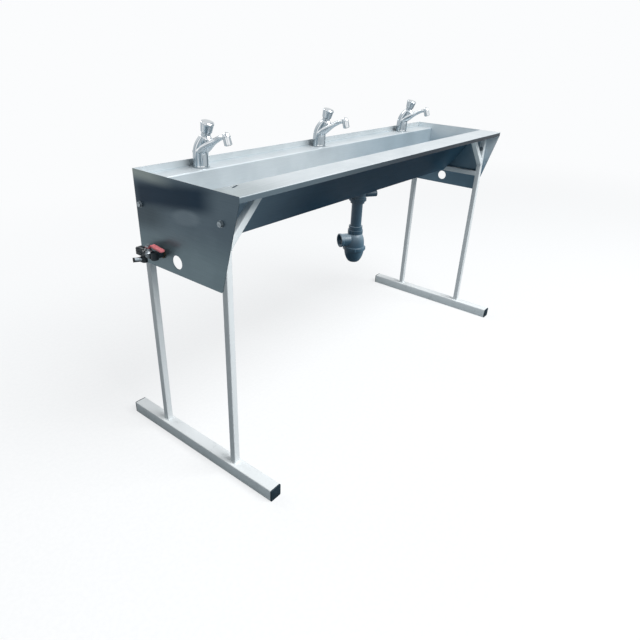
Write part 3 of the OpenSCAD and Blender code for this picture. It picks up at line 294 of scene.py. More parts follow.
def grid_quads(rows, columns, wrap_rows):
    """Corner numbers of a grid's quads; it closes along its columns and is numbered row by row"""
    i, j = np.meshgrid(np.arange(rows if wrap_rows else rows - 1), np.arange(columns), indexing="ij")
    here, below, beside = i * columns, (i + 1) % rows * columns, (j + 1) % columns
    return np.stack([here + j, here + beside, below + beside, below + j], -1).reshape(-1, 4)


def make_piece(name, grids, material, body, stands_for=(), crease=35.0, wrap_rows=False):
    """One mesh from several grids of points, closed around, with its faces outwards, riding on a body"""
    mesh = bpy.data.meshes.new(name)
    shell = bmesh.new()
    for grid in grids:
        rows, columns = grid.shape[:2]
        part = bpy.data.meshes.new(name)
        part.from_pydata(grid.reshape(-1, 3).tolist(), [], grid_quads(rows, columns, wrap_rows).tolist())
        shell.from_mesh(part)
        bpy.data.meshes.remove(part)
    bmesh.ops.remove_doubles(shell, verts=shell.verts, dist=2e-6)
    bmesh.ops.recalc_face_normals(shell, faces=shell.faces)
    shell.to_mesh(mesh)
    shell.free()
    mesh.shade_smooth()
    mesh.set_sharp_from_angle(angle=math.radians(crease))
    mesh.materials.append(material)
    piece = add_object(name, mesh)
    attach(piece, body)
    if stands_for:
        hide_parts(*stands_for)


def dress(material, *nodes):
    """Gives CAD nodes a material"""
    for node in nodes:
        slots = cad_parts[node].data.materials
        slots.clear()
        slots.append(material)


def box_of(node):
    """Lowest corner, highest corner and middle of a CAD node, as arrays"""
    low, high = (np.array(corner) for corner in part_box(node))
    return low, high, (low + high) / 2


# Materials

def feed(socket, value):
    """Links a socket to a Value, or sets it to a number, a vector, a colour or the tone of that name"""
    if isinstance(value, Value):
        socket.id_data.links.new(value.socket, socket)
    else:
        socket.default_value = TONES[value] if isinstance(value, str) else value


def add_node(tree, kind, inputs=None, **settings):
    """Adds a shader node with its settings; inputs maps its sockets to what feeds them"""
    node = tree.nodes.new("ShaderNode" + kind)
    for name, value in settings.items():
        setattr(node, name, value)
    for name, value in (inputs or {}).items():
        feed(node.inputs[name], value)
    return node


class Value:
    """What a node gives. Arithmetic and the methods add the nodes that change it."""

    def __init__(self, node, output=0):
        self.socket = node.outputs[output]

    def through(self, kind, inputs, output=0, **settings):
        """What a new node in the same tree gives"""
        return Value(add_node(self.socket.id_data, kind, inputs, **settings), output)

    def maths(self, operation, a, b=0.0):
        """Two numbers joined by a Math node"""
        return self.through("Math", {0: a, 1: b}, operation=operation)

    def __mul__(self, other):
        return self.maths("MULTIPLY", self, other)

    def __sub__(self, other):
        return self.maths("SUBTRACT", self, other)

    def __rsub__(self, other):
        return self.maths("SUBTRACT", other, self)

    def __abs__(self):
        return self.maths("ABSOLUTE", self)

    def larger(self, other):
        """Larger one of two numbers"""
        return self.maths("MAXIMUM", self, other)

    def ranged(self, low, high, to_low=0.0, to_high=1.0, kind="SMOOTHSTEP"):
        """Number mapped from low..high to to_low..to_high, clamped"""
        return self.through("MapRange", {0: self, 1: low, 2: high, 3: to_low, 4: to_high},
                            interpolation_type=kind)

    def blend(self, a, b, kind="MIX"):
        """Two colours mixed, this number being the second one's share"""
        return self.through("Mix", {0: self, 6: a, 7: b}, 2, data_type="RGBA", blend_type=kind)

    def split(self):
        """X, Y and Z of a vector"""
        node = add_node(self.socket.id_data, "SeparateXYZ", {0: self})
        return [Value(node, k) for k in range(3)]

    def scaled(self, scale, shift=(0.0, 0.0, 0.0)):
        """Vector times a scale, plus a shift"""
        return self.through("Mapping", {"Vector": self, "Scale": scale, "Location": shift})

    def length(self):
        """Length of a vector"""
        return self.through("VectorMath", {0: self}, "Value", operation="LENGTH")

    def cloud(self, detail, roughness):
        """Noise over a vector, with features about 1 across"""
        return self.through("TexNoise", {"Vector": self, "Scale": 1.0, "Detail": detail,
                                         "Roughness": roughness})

    def noise(self, size_mm, stretch=(1, 1, 1), detail=3.0, roughness=0.5):
        """Noise over a place, with features about size_mm across, longer by the stretch along each axis"""
        return self.scaled([1 / (size_mm * MM * s) for s in stretch]).cloud(detail, roughness)

    def millimetres_from(self, corner):
        """X, Y and Z of a place in millimetres from a corner"""
        return self.scaled([1 / MM] * 3, [-c / MM for c in corner]).split()


def empty_tree(owner):
    """Node tree of a material or a world, without its first nodes"""
    owner.use_nodes = True
    owner.node_tree.nodes.clear()
    return owner.node_tree


class Finish:
    """Material with one Principled shader and its place in object space"""

    def __init__(self, name, **shader):
        self.material = bpy.data.materials.new(name)
        self.tree = empty_tree(self.material)
        self.principled = add_node(self.tree, "BsdfPrincipled")
        self.feed(**shader)
        add_node(self.tree, "OutputMaterial", {"Surface": Value(self.principled)})
        self.place = Value(add_node(self.tree, "TexCoord"), "Object")

    def facing(self):
        """Direction that the surface faces"""
        return Value(add_node(self.tree, "NewGeometry"), "Normal")

    def feed(self, **values):
        """Feeds the shader's sockets, written with _ for spaces"""
        for name, value in values.items():
            feed(self.principled.inputs[name.replace("_", " ")], value)

    def bump(self, height, depth_mm, strength):
        """Relief from a height; depth_mm is the real depth at height 1"""
        relief = {"Height": height, "Strength": strength, "Distance": depth_mm * MM}
        self.feed(Normal=height.through("Bump", relief))

    def belt_grind(self, tone, long_axis, streak_share, cloud_reach, cloud_tone):
        """Satin belt grain over a tone: streaks about 1 mm wide, drawn coarser than the real 0.2 mm so
        that they show, and 60 times as long, with soft clouds. They tint the colour, break up the gloss
        and give a relief."""
        stretch = [1.0, 1.0, 1.0]
        stretch[long_axis] = 60.0
        streaks = self.place.noise(1.1, stretch, 4.0, 0.65)
        clouds = self.place.noise(90.0, detail=2.0).ranged(0.5 - cloud_reach, 0.5 + cloud_reach, 0.0, 0.12)
        tone = streaks.ranged(0.2, 0.8, 0.0, streak_share).blend(tone, "steel_grain", "MULTIPLY")
        self.feed(Base_Color=clouds.blend(tone, cloud_tone, "MULTIPLY"),
                  Roughness=streaks.ranged(0.25, 0.75, 0.30, 0.46))
        self.bump(streaks, 0.02, 0.35)


def trough_steel(colours):
    """Stainless sheet, grade 304, belt ground to a satin grain along its length. The upper side is bright
    and diffuse. The rest is painted light and shade: painted shade on the faces towards the front, the
    upstand and its fold, the rim's left end, the flange, the slot and the back, and on the outside a very
    dark painted reflection of the shaded floor."""
    finish = Finish("satin_stainless_trough", Specular_IOR_Level=0.2)
    low, high, _ = box_of("trough_shell")
    width, depth, height = (float(size) for size in (high - low) / MM)
    x, y, z = finish.place.millimetres_from(low)
    _, face_y, face_z = finish.facing().split()
    along = x.ranged(0, width, kind="LINEAR")
    # Painted shade: faces towards the front take the back wall's tone, darker than the upper side and
    # darker again to the right
    wall = face_y.ranged(-0.75, -0.95)
    tone = along.ranged(0.35, 0.78).blend(colours.sheet_wall, "wall_right")
    # The upstand behind the taps in painted shade, lighter at its left end by painted light, and the fold
    # under it in darker painted shade
    upstand = z.ranged(height - 24, height - 21) * y.ranged(depth - 14, depth - 12)
    wall = wall.larger(upstand * face_y.ranged(-0.05, -0.3))
    folded = face_z.ranged(0.1, 0.5).blend(x.ranged(190, 90).blend("upstand", "upstand_left"), "fold")
    tone = upstand.blend(tone, folded)
    # The upper sides, in painted shade at the rim's left end, and the front flange, in painted shade that
    # darkens to the right
    rim_left = x.ranged(270, 0) * z.ranged(height - 8, height)
    tone = wall.blend(rim_left.blend(colours.sheet_top, "rim_left"), tone)
    flange = y.ranged(6, 3) * wall * z.ranged(height - 1, height - 3)
    tone = flange.blend(tone, along.ranged(0.0, 0.6).blend(colours.flange, "flange_right"))
    # Painted shade on the slot in the rim, 29 x 6 mm, turned 22 degrees
    slot_x, slot_y, turn = x - 59, y - 75, math.radians(-22)
    slot = slot_x.through("CombineXYZ", {"X": slot_x, "Y": slot_y})
    slot_x, slot_y, _ = slot.through("VectorRotate", {"Vector": slot, "Angle": turn},
                                     rotation_type="Z_AXIS").split()
    slot = abs(slot_x).ranged(15.5, 14) * abs(slot_y).ranged(3.6, 2.6) * z.ranged(height - 6, height - 3)
    tone = slot.blend(tone, "slot")
    # The outside, painted very dark as a reflection of the shaded floor and lighter at both ends, and the
    # back, in painted shade
    outside = x.ranged(0, 560).blend("outside_left", colours.sheet_under_painted_shade)
    outside = x.ranged(width - 260, width - 40).blend(outside, "outside_right")
    under = face_z.ranged(-0.1, -0.4)
    back = face_y.ranged(0.8, 0.95) * y.ranged(depth - 90, depth - 60)
    tone = back.blend(under.blend(tone, outside), "trough_back")
    finish.belt_grind(tone, long_axis=0, streak_share=0.16, cloud_reach=0.15, cloud_tone="trough_cloud")
    finish.feed(Metallic=wall.ranged(0, 1, 0.45, 0.2) * under.ranged(0, 1, 1, 0))
    return finish.material


def painted_floor_reflection(colours, inset, drop):
    """Painted reflection of the floor on an upright panel: a dark band that falls 1 in 8 to the back, its
    middle 16 mm under the top edge at the front, with a painted shade and a pale spot under it and a pale
    strip over its rear"""
    tone = drop.ranged(90, 200).blend(colours.panel, "panel_low")
    level = drop - inset * 0.124
    band = abs(level - 16).ranged(48, 14) * (inset.ranged(62, 145) * inset.ranged(405, 365, 0.45, 1.0))
    tone = band.blend(tone, colours.panel_dark)
    shade = level.ranged(30, 60) * level.ranged(130, 80) * inset.ranged(230, 340, 0.0, 0.7)
    tone = shade.blend(tone, "panel_shade")
    tone = (drop.ranged(34, 8) * inset.ranged(210, 340)).blend(tone, colours.panel_pale)
    spot = level.through("CombineXYZ", {"X": inset - 191, "Y": (level - 66) * 2.6})
    return spot.length().ranged(66, 34, 0.0, 0.8).blend(tone, "panel_spot")


def painted_inner_light(colours, inset, drop):
    """Painted light on a panel's inner side: bright at the front, dim beside the trough, light at the
    basin's end
    """
    inside = drop.ranged(60, 170).blend(colours.panel_inside, "panel_inside_low")
    inner = (inset.ranged(165, 15) * drop.ranged(190, 40)).blend(inside, colours.panel_front)
    # Painted light at the basin's end: behind the sloping front wall, over the basin's floor and over the
    # deck
    behind_wall = (inset - 88.5 - drop * 0.718).ranged(0, 2)
    over_deck = drop.ranged(22, 18).larger(inset.ranged(326, 322))
    basin = behind_wall * over_deck * drop.ranged(190, 186)
    return basin.blend(inner, drop.ranged(10, 90).blend("basin_end_top", "basin_end"))


def panel_steel(colours):
    """Stainless sheet, grade 304, with the same satin grain, cut flat for the end panels. Standing upright,
    it carries a soft painted reflection of the floor on its outer side, and painted light from the trough
    beside it on its inner side."""
    finish = Finish("satin_stainless_panel", Specular_IOR_Level=0.2)
    low, high, _ = box_of("left_end_panel")
    _, inset, z = finish.place.millimetres_from(low)
    drop = float(high[2] - low[2]) / MM - z
    inward = (finish.facing().split()[0] * finish.place.split()[0]).ranged(0, -0.1)
    tone = inward.blend(painted_floor_reflection(colours, inset, drop), painted_inner_light(colours, inset, drop))
    finish.belt_grind(tone, long_axis=1, streak_share=0.13, cloud_reach=0.1, cloud_tone="panel_cloud")
    finish.feed(Metallic=inward.ranged(0, 1, 0.75, 0.2))
    return finish.material


def tube_coating(colours):
    """Satin powder coating on square steel tube. It is pale and even, with a fine orange peel about 1.5 mm
    across and a little dust and scuffing near the floor. It is painted paler on the base tubes' sides and
    up under the rim: painted light that lifts faces left dim by the lamps."""
    finish = Finish("satin_powder_coating", Specular_IOR_Level=0.35)
    scuffs = finish.place.noise(35.0, (1, 1, 4), 6.0, 0.7)
    height = finish.place.split()[2]
    dirt = scuffs.ranged(0.55, 0.75) * height.ranged(120 * MM, 0, 0.15, 0.55)
    # Painted light: faces that don't face up, low on the base tubes and high under the rim, are painted
    # paler
    painted_lift = height.ranged(48 * MM, 42 * MM).larger(height.ranged(690 * MM, 740 * MM))
    painted_lift = painted_lift * finish.facing().split()[2].ranged(0.6, 0.2)
    finish.feed(Base_Color=dirt.blend(painted_lift.blend(colours.tube, "tube_painted_lift"), colours.tube_dirt),
                Roughness=scuffs.ranged(0.3, 0.8, 0.36, 0.55))
    finish.bump(finish.place.noise(1.5, detail=1.0), 0.03, 0.4)
    return finish.material


def grained_plastic(name, tone, roughness=0.5, grain_mm=0.8, depth_mm=0.03, worn="worn_black"):
    """Injection moulded plastic with a fine spark grain, its tone changed in patches by handling"""
    finish = Finish(name, Specular_IOR_Level=0.3)
    wear = finish.place.noise(18.0, detail=4.0)
    finish.feed(Base_Color=wear.ranged(0.5, 0.8, 0.0, 0.3).blend(tone, worn),
                Roughness=wear.ranged(0.3, 0.7, roughness - 0.06, roughness + 0.1))
    finish.bump(finish.place.noise(grain_mm, detail=2.0), depth_mm, 0.4)
    return finish.material


def trap_plastic(colours, ring_top):
    """Injection moulded polypropylene, dark blue grey, with a soft gloss. Painted shade makes faces towards
    -X darker, and a painted sheen with a little dust pales what faces up, except on the ring's top."""
    finish = Finish("moulded_grey_polypropylene", Specular_IOR_Level=0.4)
    face_x, _, face_z = finish.facing().split()
    wear = finish.place.noise(18.0, detail=4.0)
    # Painted sheen on what faces up, broken a little by dust and kept off the ring's top
    from_ring = abs(finish.place.split()[2] - ring_top).ranged(1.5 * MM, 2.5 * MM, 0.2, 1.0)
    dust_and_painted_sheen = face_z.ranged(0.0, 0.75) * wear.ranged(0.2, 0.6, 0.75, 1.0) * from_ring
    # Painted shade: faces towards -X darker
    tone = face_x.ranged(-0.75, 0.35).blend("trap_side", colours.trap)
    finish.feed(Base_Color=dust_and_painted_sheen.blend(tone, "dust_and_painted_sheen"), Roughness=wear.ranged(0.3, 0.7, 0.28, 0.42))
    finish.bump(finish.place.noise(1.4, detail=2.0), 0.02, 0.4)
    return finish.material


def plated(name, tone, dark, roughness, streak_share, nylon_nut=None):
    """Polished plating over metal. Its tone carries painted reflections: long bright and dark streaks that
    follow the form, the ceiling's tone on what faces up and dark on what faces down or back to the left, so
    the tone varies with the direction that the surface faces; fine water marks break up the gloss. A black
    nylon nut, where there is one, covers the metal behind one Y and below one Z."""
    finish = Finish(name, Metallic=1.0)
    normal = finish.facing()
    up = normal.split()[2]
    # Painted reflections, from the direction that the surface faces
    streaks = normal.scaled((2.6, 2.6, 1.1), (0.35, 0.1, 0.2)).cloud(2.0, 0.6)
    streaks = streaks.ranged(0.49, 0.6) * streak_share
    away = normal.through("VectorMath", {0: normal, 1: (-0.6, 0.8, 0.0)}, "Value", operation="DOT_PRODUCT")
    share = streaks.larger(up.ranged(0.15, -0.5, 0.0, 0.6)).larger(away.ranged(0.5, 0.9, 0.0, 0.85))
    tone = share.blend(up.ranged(0.75, 0.97).blend(tone, "ceiling"), dark)
    if nylon_nut:
        (nut_y, nut_z), edge, (_, y, z) = nylon_nut, 0.3 * MM, finish.place.split()
        nut = y.ranged(nut_y - edge, nut_y + edge) * z.ranged(nut_z + edge, nut_z - edge)
        tone = nut.blend(tone, finish_colours().fitting)
        finish.feed(Metallic=1.0 - nut)
    marks = finish.place.noise(6.0, detail=5.0, roughness=0.7)
    finish.feed(Base_Color=tone, Roughness=marks.ranged(0.4, 0.75, roughness, roughness + 0.1))
    return finish.material


def turned_metal(name, tone, film_tone, roughness=0.35, film_mm=22.0):
    """Bare metal, drawn or turned: a fine directional grain and a dull film in patches"""
    finish = Finish(name, Metallic=0.9)
    film = finish.place.noise(film_mm, detail=5.0, roughness=0.65)
    finish.feed(Base_Color=film.ranged(0.45, 0.7, 0.0, 0.65).blend(tone, film_tone),
                Roughness=film.ranged(0.3, 0.7, roughness - 0.05, roughness + 0.15))
    finish.bump(finish.place.noise(0.9, (6, 1, 1)), 0.02, 0.3)
    return finish.material


def finish_colours():
    """Colours set in the scene"""
    return bpy.context.scene.wash_trough_colours


def finish_sizes():
    """Sizes set in the scene"""
    return bpy.context.scene.wash_trough_sizes


# Stage

def mixed(share, a, b):
    """Two shaders mixed, share being the second one's"""
    return share.through("MixShader", {0: share, 1: a, 2: b})


def seen_or_else(tree, shown, lit):
    """One shader for the camera and for reflections, another where a surface only throws light back"""
    path = add_node(tree, "LightPath")
    camera, glossy, glass = (Value(path, "Is " + ray + " Ray")
                             for ray in ("Camera", "Glossy", "Transmission"))
    return mixed(camera.larger(glossy).larger(glass), lit, shown)


def floor_paint(colours):
    """Matt studio paint that fades into the white surroundings and keeps a part of the object's soft
    shadow. Beside the object a painted shadow, seen only in reflections, makes metal mirror a dark stretch
    of floor, and the floor throws back little light."""
    material = bpy.data.materials.new("pale_floor")
    tree = empty_tree(material)
    place = Value(add_node(tree, "TexCoord"), "Object")
    away = place.scaled((0.62, 1.1, 0.0)).length()
    beside = place.scaled((0.36, 0.6, 0.0), (-0.36, 0.27, 0.0)).length()
    # Painted shadow, seen only by reflected rays: the floor beside the object dark
    dark = beside.ranged(1.0, 0.75, 0.0, 0.92) * Value(add_node(tree, "LightPath"), "Is Glossy Ray")
    tone = place.noise(12.0).ranged(0.3, 0.7).blend(colours.floor, "floor_grain")
    matt = Value(add_node(tree, "BsdfDiffuse", {"Color": dark.blend(tone, "ground")}))
    glow = Value(add_node(tree, "Emission", {"Color": "studio"}))
    bounce = Value(add_node(tree, "BsdfDiffuse", {"Color": "floor_bounce"}))
    paint = mixed(away.ranged(1.2, 3.5, 0.72, 1.0) * (1.0 - dark), matt, glow)
    add_node(tree, "OutputMaterial", {"Surface": seen_or_else(tree, paint, bounce)})
    return material


class WASHTROUGH_OT_stage(bpy.types.Operator):
    """Makes the pale floor, the soft lamps, the world and the camera"""

    bl_idname = "wash_trough.stage"
    bl_label = "Stage, light and camera"

    floor_radius: length("Floor radius", "Radius of the floor", 40000.0)
    key_power: FloatProperty(name="Key power", description="Power of the large soft lamp", unit="POWER",
                             default=518.0)
    back_power: FloatProperty(name="Back power", description="Power of the lamp behind", unit="POWER",
                              default=60.0)
    world_level: FloatProperty(name="World level", description="Light from all round", default=0.22, min=0)

    def execute(self, context):
        colours = finish_colours()
        self.make_floor(colours)
        self.make_world(context)
        # Place, target and diameter in metres
        self.make_lamp("key_lamp", (0.5, -3.7, 5.3), (0.0, 0.0, 0.5), 4.6, self.key_power)
        self.make_lamp("back_lamp", (-0.6, 4.0, 3.6), (0.0, 0.0, 0.7), 2.5, self.back_power)
        self.make_camera(context)
        return {"FINISHED"}

    def make_floor(self, colours):
        """Round floor 0.4 mm under the object's feet"""
        around = round_angles(96)
        edge = np.stack([np.cos(around), np.sin(around)], -1) * self.floor_radius
        points = np.hstack([edge, np.full((len(edge), 1), -0.4 * MM)])
        mesh = bpy.data.meshes.new("floor")
        mesh.from_pydata(points.tolist(), [], [list(range(len(points)))])
        mesh.materials.append(floor_paint(colours))
        floor = add_object("floor", mesh)

    def make_world(self, context):
        """White surroundings for the eye that give little light"""
        world = bpy.data.worlds.new("soft_studio")
        context.scene.world = world
        tree = empty_tree(world)
        lit, shown = (Value(add_node(tree, "Background", {"Color": tone, "Strength": strength}))
                      for tone, strength in (("sky", self.world_level), ("studio", 1.0)))
        add_node(tree, "OutputWorld", {"Surface": seen_or_else(tree, shown, lit)})

    def make_lamp(self, name, place, target, size, power):
        """Round soft lamp at a place, turned to its target"""
        light = bpy.data.lights.new(name, "AREA")
        light.shape, light.size, light.energy = "DISK", size, power
        lamp = add_object(name, light)
        lamp.location = place
        lamp.rotation_euler = (Vector(target) - Vector(place)).to_track_quat("-Z", "Y").to_euler()

    def make_camera(self, context):
        """Camera from its azimuth, elevation and roll, placed from the trough's front edge and middle"""
        view = context.scene.wash_trough_camera
        turn = (Matrix.Rotation(view.azimuth, 4, "Z")
                @ Matrix.Rotation(math.pi / 2 - view.elevation, 4, "X")
                @ Matrix.Rotation(view.roll, 4, "Z"))
        panels = box_of("left_end_panel")[0], box_of("right_end_panel")[1]
        middle, rim_front = (panels[0][0] + panels[1][0]) / 2, box_of("trough_shell")[0][1]
        place = (middle - view.left_of_middle, rim_front - view.before_rim, view.height)
        optics = bpy.data.cameras.new("camera")
        optics.lens, optics.sensor_width, optics.clip_end = view.focal, 36.0, 200.0
        camera = add_object("camera", optics)
        camera.matrix_world = Matrix.Translation(place) @ turn
        context.scene.camera = camera
        context.scene.view_settings.view_transform = "Standard"


# Trough and panels

class WASHTROUGH_OT_trough(bpy.types.Operator):
    """Finishes the folded trough and its end panels in satin stainless steel"""

    bl_idname = "wash_trough.trough"
    bl_label = "Trough and end panels"

    def execute(self, context):
        colours = finish_colours()
        dress(trough_steel(colours), "trough_shell")
        dress(panel_steel(colours), "left_end_panel", "right_end_panel")
        return {"FINISHED"}


# Leg frames

class WASHTROUGH_OT_leg_frames(bpy.types.Operator):
    """Makes the square tubes with rounded corners, their welds and the end caps"""

    bl_idname = "wash_trough.leg_frames"
    bl_label = "Leg frames"

    wall_run: length("Wall run", "Horizontal run of the trough's sloping front wall", 135.0)
    wall_rise: length("Wall rise", "Height of the trough's sloping front wall", 186.5)
    base_wall: length("Base wall", "Wall of the base tubes", 2.0)
    base_radius: length("Base corner radius", "Outer corner radius of the base tubes", 3.5)
    weld_pitch: length("Weld pitch", "Distance between the ripples of a weld bead", 3.2)
    weld_corner: length("Weld corner", "Corner radius of a bead's path round a tube", 3.0)

    def execute(self, context):
        coat = tube_coating(finish_colours())
        cap = grained_plastic("moulded_black_polypropylene", finish_colours().cap, 0.48)
        for side, sign in SIDES.items():
            self.make_tubes(side, sign, coat)
            self.make_caps(side, cap)
            self.make_welds(side, sign, coat)
        return {"FINISHED"}

    def tube(self, node, coat, axis=None, ends=None, side=(1, 0, 0), cuts=None, wall=None, radius=None):
        """Square tube in place of its node, between two ends or through the node's box along an axis; its
        ends are cut square, or to planes whose directions are given"""
        low, high, middle = box_of(node)
        if ends is None:
            ends = np.array([middle, middle])
            ends[:, axis] = low[axis], high[axis]
        start, end = np.array(ends, float)
        cuts = np.array(cuts or (end - start, end - start), float)
        width = (high - low)[0 if side[0] else 1]
        sizes = finish_sizes()
        grid = cut_tube(start, end, np.array(side, float), width, wall or sizes.tube_wall,
                        radius or sizes.tube_radius, cuts)
        make_piece("rounded_" + node, [grid], coat, "root", [node])

    def make_tubes(self, side, sign, coat):
        """Base tube, uprights, side bar cut to the trough's sloping wall and brace cut at 45 degrees"""
        self.tube(side + "_base_tube", coat, 1, wall=self.base_wall, radius=self.base_radius)
        for place in ("_rear_upright", "_front_upright"):
            self.tube(side + place, coat, 2)
        low, high, (x, _, z) = box_of(side + "_side_bar")
        reach = high[1] - (z - low[2]) * self.wall_run / self.wall_rise
        self.tube(side + "_side_bar", coat, ends=((x, low[1], z), (x, reach, z)),
                  cuts=((0, 1, 0), (0, self.wall_rise, self.wall_run)))
        low, high, (_, y, _) = box_of(side + "_brace")
        half_cut = (high[1] - low[1]) / math.sqrt(2)
        outer, inner = (low[0], high[0]) if sign < 0 else (high[0], low[0])
        foot, head = (outer, y, low[2] + half_cut), (inner + sign * half_cut, y, high[2])
        self.tube(side + "_brace", coat, ends=(foot, head), side=(0, 1, 0), cuts=((1, 0, 0), (0, 0, 1)))

    def make_caps(self, side, material):
        """Each cap: rounded squares of changing size along the tube's axis, from the plug to the plate"""
        sizes = finish_sizes()
        low, high, middle = box_of(side + "_base_tube")
        width = high[0] - low[0]
        plug = width - 2 * self.base_wall - 0.2 * MM
        plate, edge = sizes.cap_plate, 1.2 * MM
        rows = [(-sizes.cap_plug, plug - 4 * MM), (-sizes.cap_plug + 2 * MM, plug), (0, plug), (0, width),
                (plate - edge, width), (plate - edge / 3, width - edge * 0.6), (plate, width - 2 * edge)]
        grids = []
        for end, out in ((low[1], -1), (high[1], 1)):
            rings = []
            for along, size in rows:
                outline = rounded_square(size, size, min(self.base_radius, size / 4))
                rings.append(in_plane(outline, 1, (middle[0], end + out * along, middle[2])))
            grids.append(capped(np.stack(rings)))
        make_piece(side + "_moulded_caps", grids, material, "root", [side + "_tube_caps"])

    def make_welds(self, side, sign, material):
        """Weld beads round the uprights' feet and the ends of brace and side bar on the front upright"""
        weld = finish_sizes().weld
        seams = []
        for upright in ("_rear_upright", "_front_upright"):
            low, high, middle = box_of(side + upright)
            wide, deep, _ = high - low + weld
            seams.append((2, (middle[0], middle[1], low[2]), wide, deep, weld))
        low, high, middle = box_of(side + "_brace")
        face, deep = low[0] if sign < 0 else high[0], high[1] - low[1]
        cut = deep * math.sqrt(2)
        seams.append((0, (face, middle[1], low[2] + cut / 2), deep, cut, weld * 0.8))
        low, high, middle = box_of(side + "_side_bar")
        wide, _, tall = high - low
        seams.append((1, (middle[0], low[1], middle[2]), wide - 1 * MM, tall, weld * 0.8))
        grids = []
        for axis, place, width, height, radius in seams:
            path = in_plane(rounded_square(width, height, self.weld_corner), axis, place)
            grids.append(bead(path, np.eye(3)[axis], radius, self.weld_pitch))
        make_piece(side + "_frame_welds", grids, material, "root", wrap_rows=True,
                   crease=70.0)


class WASHTROUGH_OT_fixings(bpy.types.Operator):
    """Finishes the frame's bolts, washers and nuts in zinc plating"""

    bl_idname = "wash_trough.fixings"
    bl_label = "Frame bolts"

    def execute(self, context):
        zinc = turned_metal("bright_zinc_plating", finish_colours().zinc, "zinc_film", 0.34, film_mm=4.0)
        dress(zinc, "frame_bolts", "frame_washers", "frame_nuts", "clip_screws", "tap_springs", "lever_nut")
        return {"FINISHED"}


# Taps

